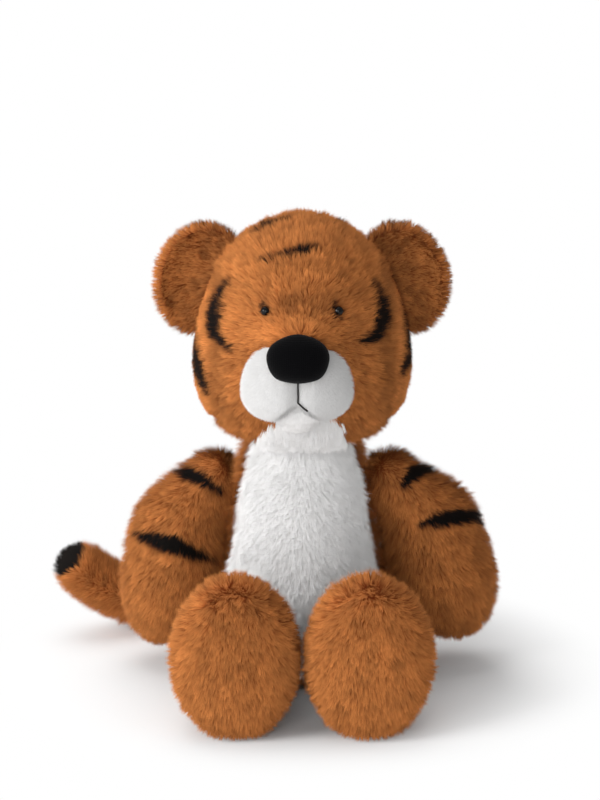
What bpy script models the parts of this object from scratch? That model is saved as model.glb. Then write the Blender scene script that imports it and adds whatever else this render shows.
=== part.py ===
"""A plush tiger that sits on a flat seat with its legs forward.

Every sewn skin is an open shell round a separate filling. The head, arms, legs and tail sit in
shallow round seats, each on a ring of closing thread, and turn about the middle of that seat.
The toy faces -Y, its own left is +X, and the middle of its flat seat is the origin. Metres.
"""
import math

import bmesh
import bpy
import numpy as np
from mathutils import Matrix, Vector

UP = Vector((0.0, 0.0, 1.0))
NOWHERE = Vector((0.0, 0.0, 0.0))
TURN = 2.0 * math.pi
SIDES = (("left", 1.0), ("right", -1.0))

# Cloth, thread and clearances
SKIN = 0.0028
CLEAR = 0.0003
FILLING_CLEAR = 0.0006
THREAD_RADIUS = 0.0005
SEAT_CLEAR = 2.0 * (THREAD_RADIUS + CLEAR)
FLOOR_CUT = 0.0005
OVERRUN = 0.040
MERGE = 0.00001

# Torso, as a stack of level rings
TORSO_HEIGHT = 0.136
TORSO_WIDTH = 0.094
TORSO_DEPTH = 0.094
TORSO_FORWARD = 0.003
TORSO_ROUND_SHARE = 0.90
# share of height, of half width, of half depth, of forward shift
TORSO_SHARES = (
    (1.120, 0.00, 0.00, 0.0),
    (1.030, 0.52, 0.52, 0.0),
    (0.860, 0.60, 0.63, 0.0),
    (0.740, 0.67, 0.80, 0.6),
    (0.600, 0.72, 0.92, 1.0),
    (0.440, 0.80, 0.97, 1.0),
    (0.260, 0.95, 0.92, 1.0),
    (0.100, 0.96, 0.85, 1.0),
    (0.018, 0.70, 0.68, 1.0),
    (-0.004, 0.00, 0.00, 1.0),
)
BELLY_HALF_WIDTH = 0.0400
BELLY_HEIGHT = 0.128
BELLY_SIDE_Y = -0.006
# share of belly height, share of belly half width
BELLY_SHARES = ((1.00, 0.52), (0.86, 0.64), (0.68, 0.86), (0.46, 1.00), (0.24, 0.90), (0.08, 0.48))
PELLET_BAG_RADIUS = 0.027
PELLET_BAG_HEIGHT = 0.018

# Neck seat: a dome on the torso, about this middle, in a round hollow of the head
NECK_HEIGHT = 0.112
NECK_RADIUS = 0.034
NECK_SEAM_RADIUS = 0.022

# Head, as a stack of level rings from the crown down
HEAD_LOW = 0.1225
HEAD_HIGH = 0.2415
HEAD_WIDTH = 0.113
HEAD_DEPTH = 0.103
HEAD_FORWARD = 0.004
# share of height, of half width, of half depth
HEAD_SHARES = (
    (1.000, 0.00, 0.00),
    (0.930, 0.45, 0.50),
    (0.795, 0.735, 0.79),
    (0.630, 0.90, 0.95),
    (0.460, 0.99, 1.00),
    (0.300, 1.00, 0.98),
    (0.150, 0.90, 0.82),
    (0.040, 0.60, 0.52),
    (0.000, 0.00, 0.00),
)
PANEL_HALF_WIDTH = 0.0405

# Muzzle, chin, nose and mouth: the muzzle is one pad, drawn in along its middle to two cheeks
FACE_ASIDE = 0.0020
MUZZLE_WIDTH = 0.0560
MUZZLE_DEPTH = 0.0480
MUZZLE_HIGH = 0.1880
MUZZLE_LOW = 0.1455
MUZZLE_FORWARD = 0.0480
MUZZLE_ROUND_SHARE = 0.85
MUZZLE_SIDES = 12
# share of height, of half width, of half depth
MUZZLE_SHARES = (
    (1.00, 0.00, 0.00),
    (0.93, 0.52, 0.52),
    (0.74, 0.84, 0.86),
    (0.48, 1.00, 1.00),
    (0.22, 0.97, 0.97),
    (0.05, 0.66, 0.68),
    (0.00, 0.00, 0.00),
)
GROOVE_HALF_WIDTH = 0.0050
GROOVE_DEPTH = 0.0045
GROOVE_LIFT = 0.0075
CHIN_WIDTH = 0.0300
CHIN_HEIGHT = 0.0230
CHIN_DEPTH = 0.0340
CHIN_MIDDLE_HEIGHT = 0.1495
CHIN_FORWARD = 0.0470
NOSE_WIDTH = 0.0300
NOSE_HEIGHT = 0.0245
NOSE_DEPTH = 0.0170
NOSE_MIDDLE_HEIGHT = 0.1808
NOSE_FORWARD = 0.0680
# share of nose height above its middle, share of its half width, share of its half depth
NOSE_SHARES = (
    (0.53, 0.00, 0.00),
    (0.44, 0.62, 0.62),
    (0.20, 1.00, 1.00),
    (-0.06, 0.98, 1.05),
    (-0.28, 0.62, 0.86),
    (-0.44, 0.28, 0.50),
    (-0.53, 0.00, 0.00),
)
MOUTH_DROP = 0.0100
MOUTH_SPREAD = 0.0055
MOUTH_CURVE = 0.0018
MOUTH_STEPS = 4

# Eyes: a bead on a shank, held behind the skin by a washer
EYE_SPREAD = 0.0187
EYE_ABOVE_MUZZLE = 0.0108
EYE_RADIUS = 0.0033
EYE_STANDS_OUT = 0.0036
SHANK_RADIUS = 0.0010
SHANK_TAIL = 0.0010
WASHER_RADIUS = 0.0044
WASHER_DROP = 0.0008
WASHER_THICKNESS = 0.0012
EYE_STEPS = 12

# Ears: two plies of cloth, cupped to the front, on the seam between the head's panels
EAR_TALL = 0.0280
EAR_REACH = 0.0225
EAR_ROOT_OUT = 0.0017
EAR_ROOT_BELOW_CROWN = 0.0355
EAR_ROOT_BACK = 0.0025
EAR_LEAN_DEG = 15.0
EAR_OUT = 0.0020
EAR_CUP = 0.0060
EAR_PLY = 0.0034
EAR_CLEAR = 0.0004
EAR_FOLDS_DEG = {"back": -11.0, "rest": 0.0, "forward": 13.0}
EAR_ROOT_SLIT = 0.0009
EAR_GRID = 3

# Arms: turned sausages that hang outwards from the shoulder
SHOULDER_SPREAD = 0.0472
SHOULDER_HEIGHT = 0.1000
SHOULDER_BACK = 0.0080
SHOULDER_RADIUS = 0.0170
SHOULDER_SEAM_RADIUS = 0.0095
ARM_LEAN_DEG = {"left": 27.8, "right": 20.5}
ARM_LENGTH = 0.0945
ARM_RADIUS = 0.0258
ARM_BOW = 0.0075
# share of arm length from the shoulder's middle, of arm radius, of outward bow
ARM_SHARES = (
    (-0.176, 0.00, 0.00),
    (-0.133, 0.41, 0.00),
    (-0.020, 0.645, 0.05),
    (0.140, 0.79, 0.75),
    (0.330, 0.95, 1.00),
    (0.530, 1.00, 0.50),
    (0.740, 0.97, 0.05),
    (0.920, 0.60, -0.10),
    (1.000, 0.00, -0.10),
)

# Legs: tubes that run forward from the hip and swell to a standing foot
HIP_SPREAD = 0.0325
HIP_FORWARD = 0.0420
HIP_HEIGHT = 0.0265
HIP_RADIUS = 0.0215
HIP_SEAM_RADIUS = 0.0120
HIP_SEAM_TILT_DEG = 12.0
LEG_LENGTH = 0.0800
LEG_RADIUS = 0.0240
FOOT_SPREAD = 0.0325
FOOT_WIDTH = 0.0620
FOOT_HEIGHT = 0.0850
SOLE_DOME = 0.0070
# share of leg length from the hip, of the way from leg to foot size, of that size
LEG_SHARES = (
    (-0.269, 0.00, 0.00),
    (-0.195, 0.00, 0.61),
    (-0.030, 0.00, 0.88),
    (0.200, 0.02, 0.92),
    (0.450, 0.25, 1.00),
    (0.680, 0.75, 1.00),
    (0.880, 1.00, 1.00),
    (0.975, 1.00, 0.72),
    (1.020, 1.00, 0.00),
)

# Tail: a soft roll behind the torso, its end turned up, with a black tip
TAIL_ROOT_BACK = 0.0420
TAIL_ROOT_HEIGHT = 0.0145
TAIL_ROOT_RADIUS = 0.0110
TAIL_SEAM_RADIUS = 0.0065
TAIL_REACH = 0.1290
TAIL_RISE = 0.0300
TAIL_BACK = 0.0235
TAIL_RADIUS = 0.0132
TAIL_TIP = 0.0085
# share of reach to the toy's right, of back shift, of rise, of tail radius
TAIL_SHARES = (
    (-0.045, -0.42, 0.00, 0.00),
    (-0.030, -0.27, 0.00, 0.61),
    (0.010, 0.06, 0.00, 0.82),
    (0.120, 0.58, 0.00, 0.85),
    (0.300, 0.98, 0.00, 0.94),
    (0.520, 1.04, 0.00, 1.00),
    (0.720, 0.78, 0.12, 1.00),
    (0.870, 0.55, 0.50, 0.98),
    (0.955, 0.40, 0.86, 0.70),
    (0.985, 0.36, 1.04, 0.00),
)

# Faces round each form, and how often its cage is divided
HEAD_SIDES = 10
TORSO_SIDES = 8
LIMB_SIDES = 8
TAIL_SIDES = 6
PAD_SIDES = 8
FORM_LEVELS = 1
PAD_RINGS = 5
BALL_SIDES = 16
NECK_SIDES = 24
ROD_SIDES = 12
THREAD_STEPS = 16
THREAD_SIDES = 4


def collection(name):
    """Returns a new collection in the scene."""
    made = bpy.data.collections.new(name)
    bpy.context.scene.collection.children.link(made)
    return made


def material(name, colour, roughness):
    """Makes a Principled material with one plain colour."""
    made = bpy.data.materials.new(name)
    made.use_nodes = True
    shader = made.node_tree.nodes["Principled BSDF"]
    shader.inputs["Base Color"].default_value = (*colour, 1.0)
    shader.inputs["Roughness"].default_value = roughness
    shader.inputs["Metallic"].default_value = 0.0
    made.diffuse_color = (*colour, 1.0)
    return made


def empty(name, place, parent=None):
    """Makes the empty that carries a body, on the axis of the body's joint."""
    made = bpy.data.objects.new(name, None)
    parts.objects.link(made)
    made.parent = parent
    made.location = place - (carried_at(parent) if parent else NOWHERE)
    made["place"] = place
    return made


def carried_at(carrier):
    """Returns where an empty lies in the toy's own frame."""
    return Vector(carrier["place"])


def add_mesh(name, bm, carrier, surface):
    """Turns bm, in the toy's own frame, into a named part that its carrier holds."""
    mesh = bpy.data.meshes.new(name)
    bm.transform(Matrix.Translation(-carried_at(carrier)))
    bm.to_mesh(mesh)
    bm.free()
    mesh.materials.append(surface)
    made = bpy.data.objects.new(name, mesh)
    parts.objects.link(made)
    made.parent = carrier
    mesh.shade_smooth()
    return made


def add_cutter(name, bm):
    """Turns bm into a cutter, which only shapes other objects."""
    mesh = bpy.data.meshes.new(name)
    bm.to_mesh(mesh)
    bm.free()
    made = bpy.data.objects.new(name, mesh)
    cutters.objects.link(made)
    made.hide_render = True
    made.display_type = "WIRE"
    return made


def cut(target, cutter, operation="DIFFERENCE"):
    """Cuts target with cutter, or keeps what they share."""
    modifier = target.modifiers.new(operation.lower() + "_" + cutter.name, "BOOLEAN")
    modifier.operation = operation
    modifier.object = cutter
    modifier.solver = "EXACT"


def smooth(target, levels):
    """Adds Subdivision Surface with the same levels in view and render."""
    modifier = target.modifiers.new("smooth", "SUBSURF")
    modifier.levels = levels
    modifier.render_levels = levels


def grow(target, distance):
    """Moves a surface outwards by distance, or inwards where it is negative."""
    modifier = target.modifiers.new("grow", "DISPLACE")
    modifier.direction = "NORMAL"
    modifier.mid_level = 0.0
    modifier.strength = distance


def hollow(target, thickness):
    """Makes a closed surface a skin of this thickness, kept inside it."""
    modifier = target.modifiers.new("skin", "SOLIDIFY")
    modifier.thickness = thickness
    modifier.offset = -1.0
    modifier.use_even_offset = False


def drawn_out(rings, sides):
    """Returns the rings of the cage whose smoothed form passes through the given rings.

    Subdivision leaves a ring at a sixth of its neighbours and four sixths of itself. Where the
    cage closes in a fan of triangles, the end and the ring next to it weigh a little differently.
    """
    count = len(rings)
    weights = np.zeros((count, count))
    for row in range(1, count - 1):
        weights[row, row - 1 : row + 2] = (1.0 / 6.0, 4.0 / 6.0, 1.0 / 6.0)
    fan_end = np.array((sides + 1.0 / 3.0, 14.0 / 3.0)) / (sides + 5.0)
    beside_end = np.array((14.0 / 3.0, 76.0 / 3.0, 6.0)) / 36.0
    weights[0, :2] = fan_end
    weights[-1, :-3:-1] = fan_end
    weights[1, :3] = beside_end
    weights[-2, :-4:-1] = beside_end
    middles = np.linalg.solve(weights, np.array([ring[0][:] for ring in rings]))
    axes = np.array([[*ring[1], *ring[2]] for ring in rings])
    axes[1:-1] = np.linalg.solve(weights[1:-1, 1:-1], axes[1:-1])
    gain = 3.0 / (2.0 + math.cos(TURN / sides))
    return [
        (Vector(middle), gain * Vector(pair[:3]), gain * Vector(pair[3:]))
        for middle, pair in zip(middles, axes)
    ]


def cage(rings, sides, round_share=1.0):
    """Returns the coarse closed cage of a form that passes through rings from end to end.

    A ring is its middle and its two half axes; both are zero at the ends. A round_share under 1
    squares it.
    """
    drawn = drawn_out(rings, sides)
    steps = len(rings) - 1
    bm = bmesh.new()
    bmesh.ops.create_uvsphere(bm, u_segments=sides, v_segments=steps, radius=1.0)
    for vert in bm.verts:
        polar = math.acos(max(-1.0, min(1.0, vert.co.z)))
        middle, across, deep = drawn[round(polar / math.pi * steps)]
        angle = math.atan2(vert.co.y, vert.co.x)
        right = math.copysign(abs(math.cos(angle)) ** round_share, math.cos(angle))
        back = math.copysign(abs(math.sin(angle)) ** round_share, math.sin(angle))
        vert.co = middle + right * across + back * deep
    if bm.calc_volume(signed=True) < 0.0:
        bmesh.ops.reverse_faces(bm, faces=bm.faces)
    return bm


def ball(name, middle, radius, sides=BALL_SIDES):
    """Makes a round cutter that holds a true sphere of this radius within its facets."""
    bm = bmesh.new()
    outer = radius / math.cos(math.pi / sides) ** 2
    bmesh.ops.create_uvsphere(bm, u_segments=sides, v_segments=sides // 2, radius=outer)
    bm.transform(Matrix.Translation(middle))
    return add_cutter(name, bm)


def block(name, low, high):
    """Makes a box cutter between two corners."""
    bm = bmesh.new()
    bmesh.ops.create_cube(bm, size=1.0)
    size = high - low
    bm.transform(Matrix.Translation((low + high) / 2.0) @ Matrix.Diagonal((*size, 1.0)))
    return add_cutter(name, bm)


def rod(name, start, end, radius):
    """Makes a round bar cutter from start to end."""
    bm = bmesh.new()
    run = end - start
    bmesh.ops.create_cone(
        bm,
        cap_ends=True,
        segments=ROD_SIDES,
        radius1=radius,
        radius2=radius,
        depth=run.length,
    )
    turn = run.to_track_quat("Z", "Y").to_matrix().to_4x4()
    bm.transform(Matrix.Translation((start + end) / 2.0) @ turn)
    return add_cutter(name, bm)


def slab_beyond(name, point, outward, size):
    """Makes a cube cutter whose one face passes through point and whose bulk lies outward."""
    bm = bmesh.new()
    bmesh.ops.create_cube(bm, size=size)
    turn = outward.to_track_quat("Z", "Y").to_matrix().to_4x4()
    middle = point + outward.normalized() * size / 2.0
    bm.transform(Matrix.Translation(middle) @ turn)
    return add_cutter(name, bm)


def thread_ring(name, carrier, middle, facing, radius):
    """Makes a ring of closing thread, square to the direction it faces."""
    bpy.ops.mesh.primitive_torus_add(
        major_radius=radius,
        minor_radius=THREAD_RADIUS,
        major_segments=THREAD_STEPS,
        minor_segments=THREAD_SIDES,
    )
    made = bpy.context.active_object
    for owner in list(made.users_collection):
        owner.objects.unlink(made)
    parts.objects.link(made)
    made.name = name
    made.data.materials.append(thread)
    made.parent = carrier
    made.location = middle - carried_at(carrier)
    made.rotation_mode = "QUATERNION"
    made.rotation_quaternion = facing.to_track_quat("Z", "Y")
    made.data.shade_smooth()
    return made


def seat_ring(name, carrier, pivot, facing, ball_radius, ring_radius):
    """Lays a thread ring midway in the gap between a round seat and the ball in it."""
    gap_radius = ball_radius + SEAT_CLEAR / 2.0
    rise = math.sqrt(gap_radius**2 - ring_radius**2)
    return thread_ring(name, carrier, pivot + facing.normalized() * rise, facing, ring_radius)


def skin_and_filling(skin_name, filling_name, make_cage, carrier, levels=FORM_LEVELS):
    """Makes a skin and the filling inside it from one cage."""
    skin = add_mesh(skin_name, make_cage(), carrier, orange_plush)
    smooth(skin, levels)
    hollow(skin, SKIN)
    filling = add_mesh(filling_name, make_cage(), carrier, fibre)
    smooth(filling, levels)
    grow(filling, -(SKIN + FILLING_CLEAR))
    return skin, filling


def second_panel(source, name, surface):
    """Copies a skin as it is so far, for the panel that is cut from its other side."""
    made = source.copy()
    made.data = source.data.copy()
    made.name = name
    made.data.materials.clear()
    made.data.materials.append(surface)
    parts.objects.link(made)
    return made


def turned(name, profile, closed, place, facing, carrier, surface):
    """Turns a profile of (radius, height) points, listed down its outer side, about facing."""
    bm = bmesh.new()
    verts = [bm.verts.new((radius, 0.0, height)) for radius, height in profile]
    for first, second in zip(verts, verts[1:]):
        bm.edges.new((first, second))
    if closed:
        bm.edges.new((verts[-1], verts[0]))
    mesh = bpy.data.meshes.new(name)
    bm.to_mesh(mesh)
    bm.free()
    mesh.materials.append(surface)
    made = bpy.data.objects.new(name, mesh)
    parts.objects.link(made)
    made.parent = carrier
    made.location = place - carried_at(carrier)
    made.rotation_mode = "QUATERNION"
    made.rotation_quaternion = facing.to_track_quat("Z", "Y")
    screw = made.modifiers.new("turn", "SCREW")
    screw.steps = EYE_STEPS
    screw.render_steps = EYE_STEPS
    screw.use_merge_vertices = True
    screw.merge_threshold = MERGE
    return made


def torso_cage():
    """Returns the torso's cage, whose neck stands above the seat dome that trims it."""
    stations = []
    for height, width, depth, shift in TORSO_SHARES:
        middle = Vector((0.0, -shift * TORSO_FORWARD, height * TORSO_HEIGHT))
        across = Vector((width * TORSO_WIDTH / 2.0, 0.0, 0.0))
        deep = Vector((0.0, depth * TORSO_DEPTH / 2.0, 0.0))
        stations.append((middle, across, deep))
    return cage(stations, TORSO_SIDES, TORSO_ROUND_SHARE)


def head_half_width(level):
    """Returns half the head's width at this height."""
    heights = [HEAD_LOW + height * (HEAD_HIGH - HEAD_LOW) for height, width, depth in HEAD_SHARES]
    widths = [width * HEAD_WIDTH / 2.0 for height, width, depth in HEAD_SHARES]
    return float(np.interp(level, heights[::-1], widths[::-1]))


def head_cage():
    """Returns the head's cage, widest below its middle."""
    stations = []
    for height, width, depth in HEAD_SHARES:
        middle = Vector((0.0, -HEAD_FORWARD, HEAD_LOW + height * (HEAD_HIGH - HEAD_LOW)))
        across = Vector((width * HEAD_WIDTH / 2.0, 0.0, 0.0))
        deep = Vector((0.0, depth * HEAD_DEPTH / 2.0, 0.0))
        stations.append((middle, across, deep))
    return cage(stations, HEAD_SIDES)


def pad_cage(middle, width, depth, height):
    """Returns a plain round pad of these outer sizes."""
    stations = []
    for step in range(PAD_RINGS + 1):
        angle = math.pi * step / PAD_RINGS
        level = middle + UP * (math.cos(angle) * height / 2.0)
        across = Vector((math.sin(angle) * width / 2.0, 0.0, 0.0))
        deep = Vector((0.0, math.sin(angle) * depth / 2.0, 0.0))
        stations.append((level, across, deep))
    return cage(stations, PAD_SIDES)


def clearance_form(name, make_cage, distance, levels=FORM_LEVELS):
    """Makes a cutter that is a form grown by distance."""
    made = add_cutter(name, make_cage())
    smooth(made, levels)
    grow(made, distance)
    return made


def build_torso(carrier):
    """Makes the torso's skin, belly panel, filling and bag of pellets."""
    skin, filling = skin_and_filling("torso_skin", "torso_stuffing", torso_cage, carrier)
    for target in (skin, filling):
        for cutter in seats:
            cut(target, cutter)
    cut(skin, floor)
    belly = second_panel(skin, "belly_panel", white_plush)
    cut(skin, belly_outline("belly_opening", CLEAR / 2.0))
    cut(belly, belly_outline("belly_edge", -CLEAR / 2.0), "INTERSECT")

    bag_middle = UP * (SKIN + CLEAR)
    bag_width = 2.0 * PELLET_BAG_RADIUS

    def bag_cage():
        return pad_cage(bag_middle, bag_width, bag_width, 2.0 * PELLET_BAG_HEIGHT)

    bag = add_mesh("seat_pellet_bag", bag_cage(), carrier, cotton)
    smooth(bag, FORM_LEVELS)
    cut(bag, clearance_form("bag_room", torso_cage, -(SKIN + CLEAR)), "INTERSECT")
    cut(filling, clearance_form("bag_hollow", bag_cage, CLEAR))


def belly_outline(name, growth):
    """Makes the belly panel's outline, grown a little, as a block that reaches the front."""
    half = [(growth + w * BELLY_HALF_WIDTH, h * BELLY_HEIGHT) for h, w in BELLY_SHARES]
    points = half + [(-x, z) for x, z in reversed(half)]
    lift = [growth if z > BELLY_HEIGHT / 2.0 else -growth for x, z in points]
    bm = bmesh.new()
    front = -TORSO_DEPTH
    verts = [bm.verts.new((x, front, z + up)) for (x, z), up in zip(points, lift)]
    face = bm.faces.new(verts)
    grown = bmesh.ops.extrude_face_region(bm, geom=[face])
    moved = [item for item in grown["geom"] if isinstance(item, bmesh.types.BMVert)]
    back = BELLY_SIDE_Y + growth
    bmesh.ops.translate(bm, verts=moved, vec=(0.0, back - front, 0.0))
    bmesh.ops.recalc_face_normals(bm, faces=bm.faces)
    return add_cutter(name, bm)


def neck_trim():
    """Makes the cutter that leaves a round dome on top of the torso's neck."""
    middle = UP * NECK_HEIGHT
    reach = 2.0 * NECK_RADIUS
    base = NECK_HEIGHT + NECK_RADIUS / 2.0
    trim = block(
        "neck_trim",
        Vector((-reach, -reach, base)),
        Vector((reach, reach, NECK_HEIGHT + reach)),
    )
    bm = bmesh.new()
    bmesh.ops.create_uvsphere(
        bm, u_segments=NECK_SIDES, v_segments=NECK_SIDES // 2, radius=NECK_RADIUS
    )
    bm.transform(Matrix.Translation(middle))
    cut(trim, add_cutter("neck_dome", bm))
    return trim


def surface_point(form, x, z):
    """Returns where a form's front is met at (x, z) and its normal there, or None beside it."""
    view = bpy.context.evaluated_depsgraph_get()
    start = Vector((x, -HEAD_DEPTH * 2.0, z))
    hit, place, normal, index = form.evaluated_get(view).ray_cast(start, Vector((0.0, 1.0, 0.0)))
    return (place, normal.normalized()) if hit else None


def build_eye(side, sign, carrier, head_form, panel, filling):
    """Makes one eye bead with its shank, and the washer that holds it."""
    place, normal = surface_point(head_form, sign * EYE_SPREAD, MUZZLE_HIGH + EYE_ABOVE_MUZZLE)
    washer_top = -(SKIN + WASHER_DROP)
    washer_low = washer_top - WASHER_THICKNESS
    shank_end = washer_low - SHANK_TAIL
    bead = [(0.0, EYE_STANDS_OUT)]
    for step in range(1, 5):
        angle = math.pi / 2.0 * step / 4.0
        height = CLEAR + (EYE_STANDS_OUT - CLEAR) * math.cos(angle)
        bead.append((EYE_RADIUS * math.sin(angle), height))
    bead += [(SHANK_RADIUS, CLEAR), (SHANK_RADIUS, shank_end), (0.0, shank_end)]
    turned("eye_" + side, bead, False, place, normal, carrier, eye_plastic)
    bore = SHANK_RADIUS + CLEAR / 3.0
    ring = [
        (WASHER_RADIUS, washer_top),
        (WASHER_RADIUS, washer_low),
        (bore, washer_low),
        (bore, washer_top),
    ]
    turned("eye_washer_" + side, ring, True, place, normal, carrier, washer_plastic)
    outside = place + normal * SKIN
    inside = place + normal * (shank_end - CLEAR)
    cut(panel, rod("eye_hole_" + side, outside, inside, SHANK_RADIUS + CLEAR))
    hollow_end = place + normal * (washer_low - CLEAR)
    cut(filling, rod("washer_hollow_" + side, outside, hollow_end, WASHER_RADIUS + CLEAR))
    cut(filling, rod("shank_hollow_" + side, outside, inside, SHANK_RADIUS + CLEAR))


def build_ear(side, sign, carrier):
    """Makes an ear's two plies from one cupped disc, trimmed to clear the head as it folds."""
    lean = math.radians(EAR_LEAN_DEG)
    along = Vector((sign * math.sin(lean), 0.0, -math.cos(lean)))
    out = Vector((sign * math.cos(lean), 0.0, math.sin(lean)))
    root = carried_at(carrier)
    middle = root + out * EAR_OUT
    middle.y = 0.0
    trims = []
    for fold, degrees in EAR_FOLDS_DEG.items():
        trim = clearance_form("ear_trim_" + side + "_" + fold, head_cage, EAR_CLEAR)
        turn = Matrix.Rotation(math.radians(-degrees), 4, sign * along)
        trim.matrix_world = Matrix.Translation(root) @ turn @ Matrix.Translation(-root)
        trims.append(trim)
    for ply, backward in (("front", -1.0), ("back", 1.0)):
        bm = bmesh.new()
        bmesh.ops.create_grid(bm, x_segments=EAR_GRID, y_segments=EAR_GRID, size=1.0)
        for vert in bm.verts:
            x, y = vert.co.x, vert.co.y
            wide = x * math.sqrt(1.0 - y * y / 2.0)
            tall = y * math.sqrt(1.0 - x * x / 2.0)
            back = EAR_CUP * (1.0 - wide * wide - tall * tall) + backward * EAR_ROOT_SLIT / 2.0
            vert.co = middle + wide * EAR_TALL * along + tall * EAR_REACH * out
            vert.co.y += back
        bmesh.ops.recalc_face_normals(bm, faces=bm.faces)
        made = add_mesh("ear_" + side + "_" + ply, bm, carrier, orange_plush)
        smooth(made, FORM_LEVELS)
        sheet = made.modifiers.new("ply", "SOLIDIFY")
        sheet.thickness = EAR_PLY
        facing_back = made.data.polygons[0].normal.y > 0.0
        sheet.offset = 1.0 if facing_back == (backward > 0.0) else -1.0
        for trim in trims:
            cut(made, trim)


def muzzle_cage():
    """Returns the muzzle's cage, with a groove down its front that ends in a notch below."""
    aside = Vector((-FACE_ASIDE, 0.0, 0.0))
    stations = []
    for height, width, depth in MUZZLE_SHARES:
        level = MUZZLE_LOW + height * (MUZZLE_HIGH - MUZZLE_LOW)
        middle = Vector((0.0, -MUZZLE_FORWARD, level))
        across = Vector((width * MUZZLE_WIDTH / 2.0, 0.0, 0.0))
        deep = Vector((0.0, depth * MUZZLE_DEPTH / 2.0, 0.0))
        stations.append((middle, across, deep))
    bm = cage(stations, MUZZLE_SIDES, MUZZLE_ROUND_SHARE)
    tall = MUZZLE_HIGH - MUZZLE_LOW
    for vert in bm.verts:
        drawn = math.exp(-((vert.co.x / GROOVE_HALF_WIDTH) ** 2))
        low = max(0.0, 1.0 - (vert.co.z - MUZZLE_LOW) / tall)
        ahead = max(0.0, -MUZZLE_FORWARD - vert.co.y) * 2.0 / MUZZLE_DEPTH
        vert.co.y += GROOVE_DEPTH * drawn * ahead
        vert.co.z += GROOVE_LIFT * drawn * ahead * low**2
        vert.co += aside
    return bm


def build_mouth(carrier, faces):
    """Makes the thread that runs down the groove from the nose and forks above the chin."""
    stand = THREAD_RADIUS + CLEAR
    top = NOSE_MIDDLE_HEIGHT + NOSE_SHARES[-1][0] * NOSE_HEIGHT - stand
    fork = top - MOUTH_DROP
    near = (-stand, 0.0, stand)

    def laid_on(x, z):
        fronts = []
        for form in faces:
            for aside in near:
                for above in near:
                    found = surface_point(form, x + aside, z + above)
                    if found:
                        fronts.append(found[0].y)
        return Vector((x, min(fronts) - stand, z))

    down = [laid_on(-FACE_ASIDE, top + (fork - top) * step / MOUTH_STEPS) for step in range(MOUTH_STEPS + 1)]
    arms = {}
    for side, sign in SIDES:
        arms[side] = []
        for step in range(1, MOUTH_STEPS):
            share = step / (MOUTH_STEPS - 1)
            drop = MOUTH_CURVE * (2.0 * share - 3.0 * share**2)
            arms[side].append(laid_on(sign * MOUTH_SPREAD * share - FACE_ASIDE, fork - drop))
    main = tube("mouth_stitch", down + arms["left"])
    branch = tube("mouth_branch", [down[-1]] + arms["right"])
    place_mesh(main, parts, carrier, thread)
    place_mesh(branch, cutters, None, thread)
    branch.hide_render = True
    branch.display_type = "WIRE"
    cut(main, branch, "UNION")


def tube(name, points):
    """Returns a mesh object: a round thread through the points, with closed ends."""
    data = bpy.data.curves.new(name, "CURVE")
    data.dimensions = "3D"
    data.bevel_depth = THREAD_RADIUS
    data.bevel_resolution = 1
    data.use_fill_caps = True
    line = data.splines.new("POLY")
    line.points.add(len(points) - 1)
    for place, point in zip(line.points, points):
        place.co = (*point, 1.0)
    curve = bpy.data.objects.new(name + "_curve", data)
    cutters.objects.link(curve)
    view = bpy.context.evaluated_depsgraph_get()
    mesh = bpy.data.meshes.new_from_object(curve.evaluated_get(view))
    bm = bmesh.new()
    bm.from_mesh(mesh)
    bmesh.ops.remove_doubles(bm, verts=bm.verts, dist=THREAD_RADIUS / 100.0)
    bmesh.ops.recalc_face_normals(bm, faces=bm.faces)
    bm.to_mesh(mesh)
    bm.free()
    made = bpy.data.objects.new(name, mesh)
    made.matrix_world = curve.matrix_world
    bpy.data.objects.remove(curve)
    return made


def place_mesh(made, group, carrier, surface):
    """Puts a mesh object that is in the toy's own frame in a collection, under its carrier."""
    group.objects.link(made)
    made.data.materials.clear()
    made.data.materials.append(surface)
    if carrier:
        made.data.transform(Matrix.Translation(-carried_at(carrier)))
        made.parent = carrier
    made.data.shade_smooth()


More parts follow.
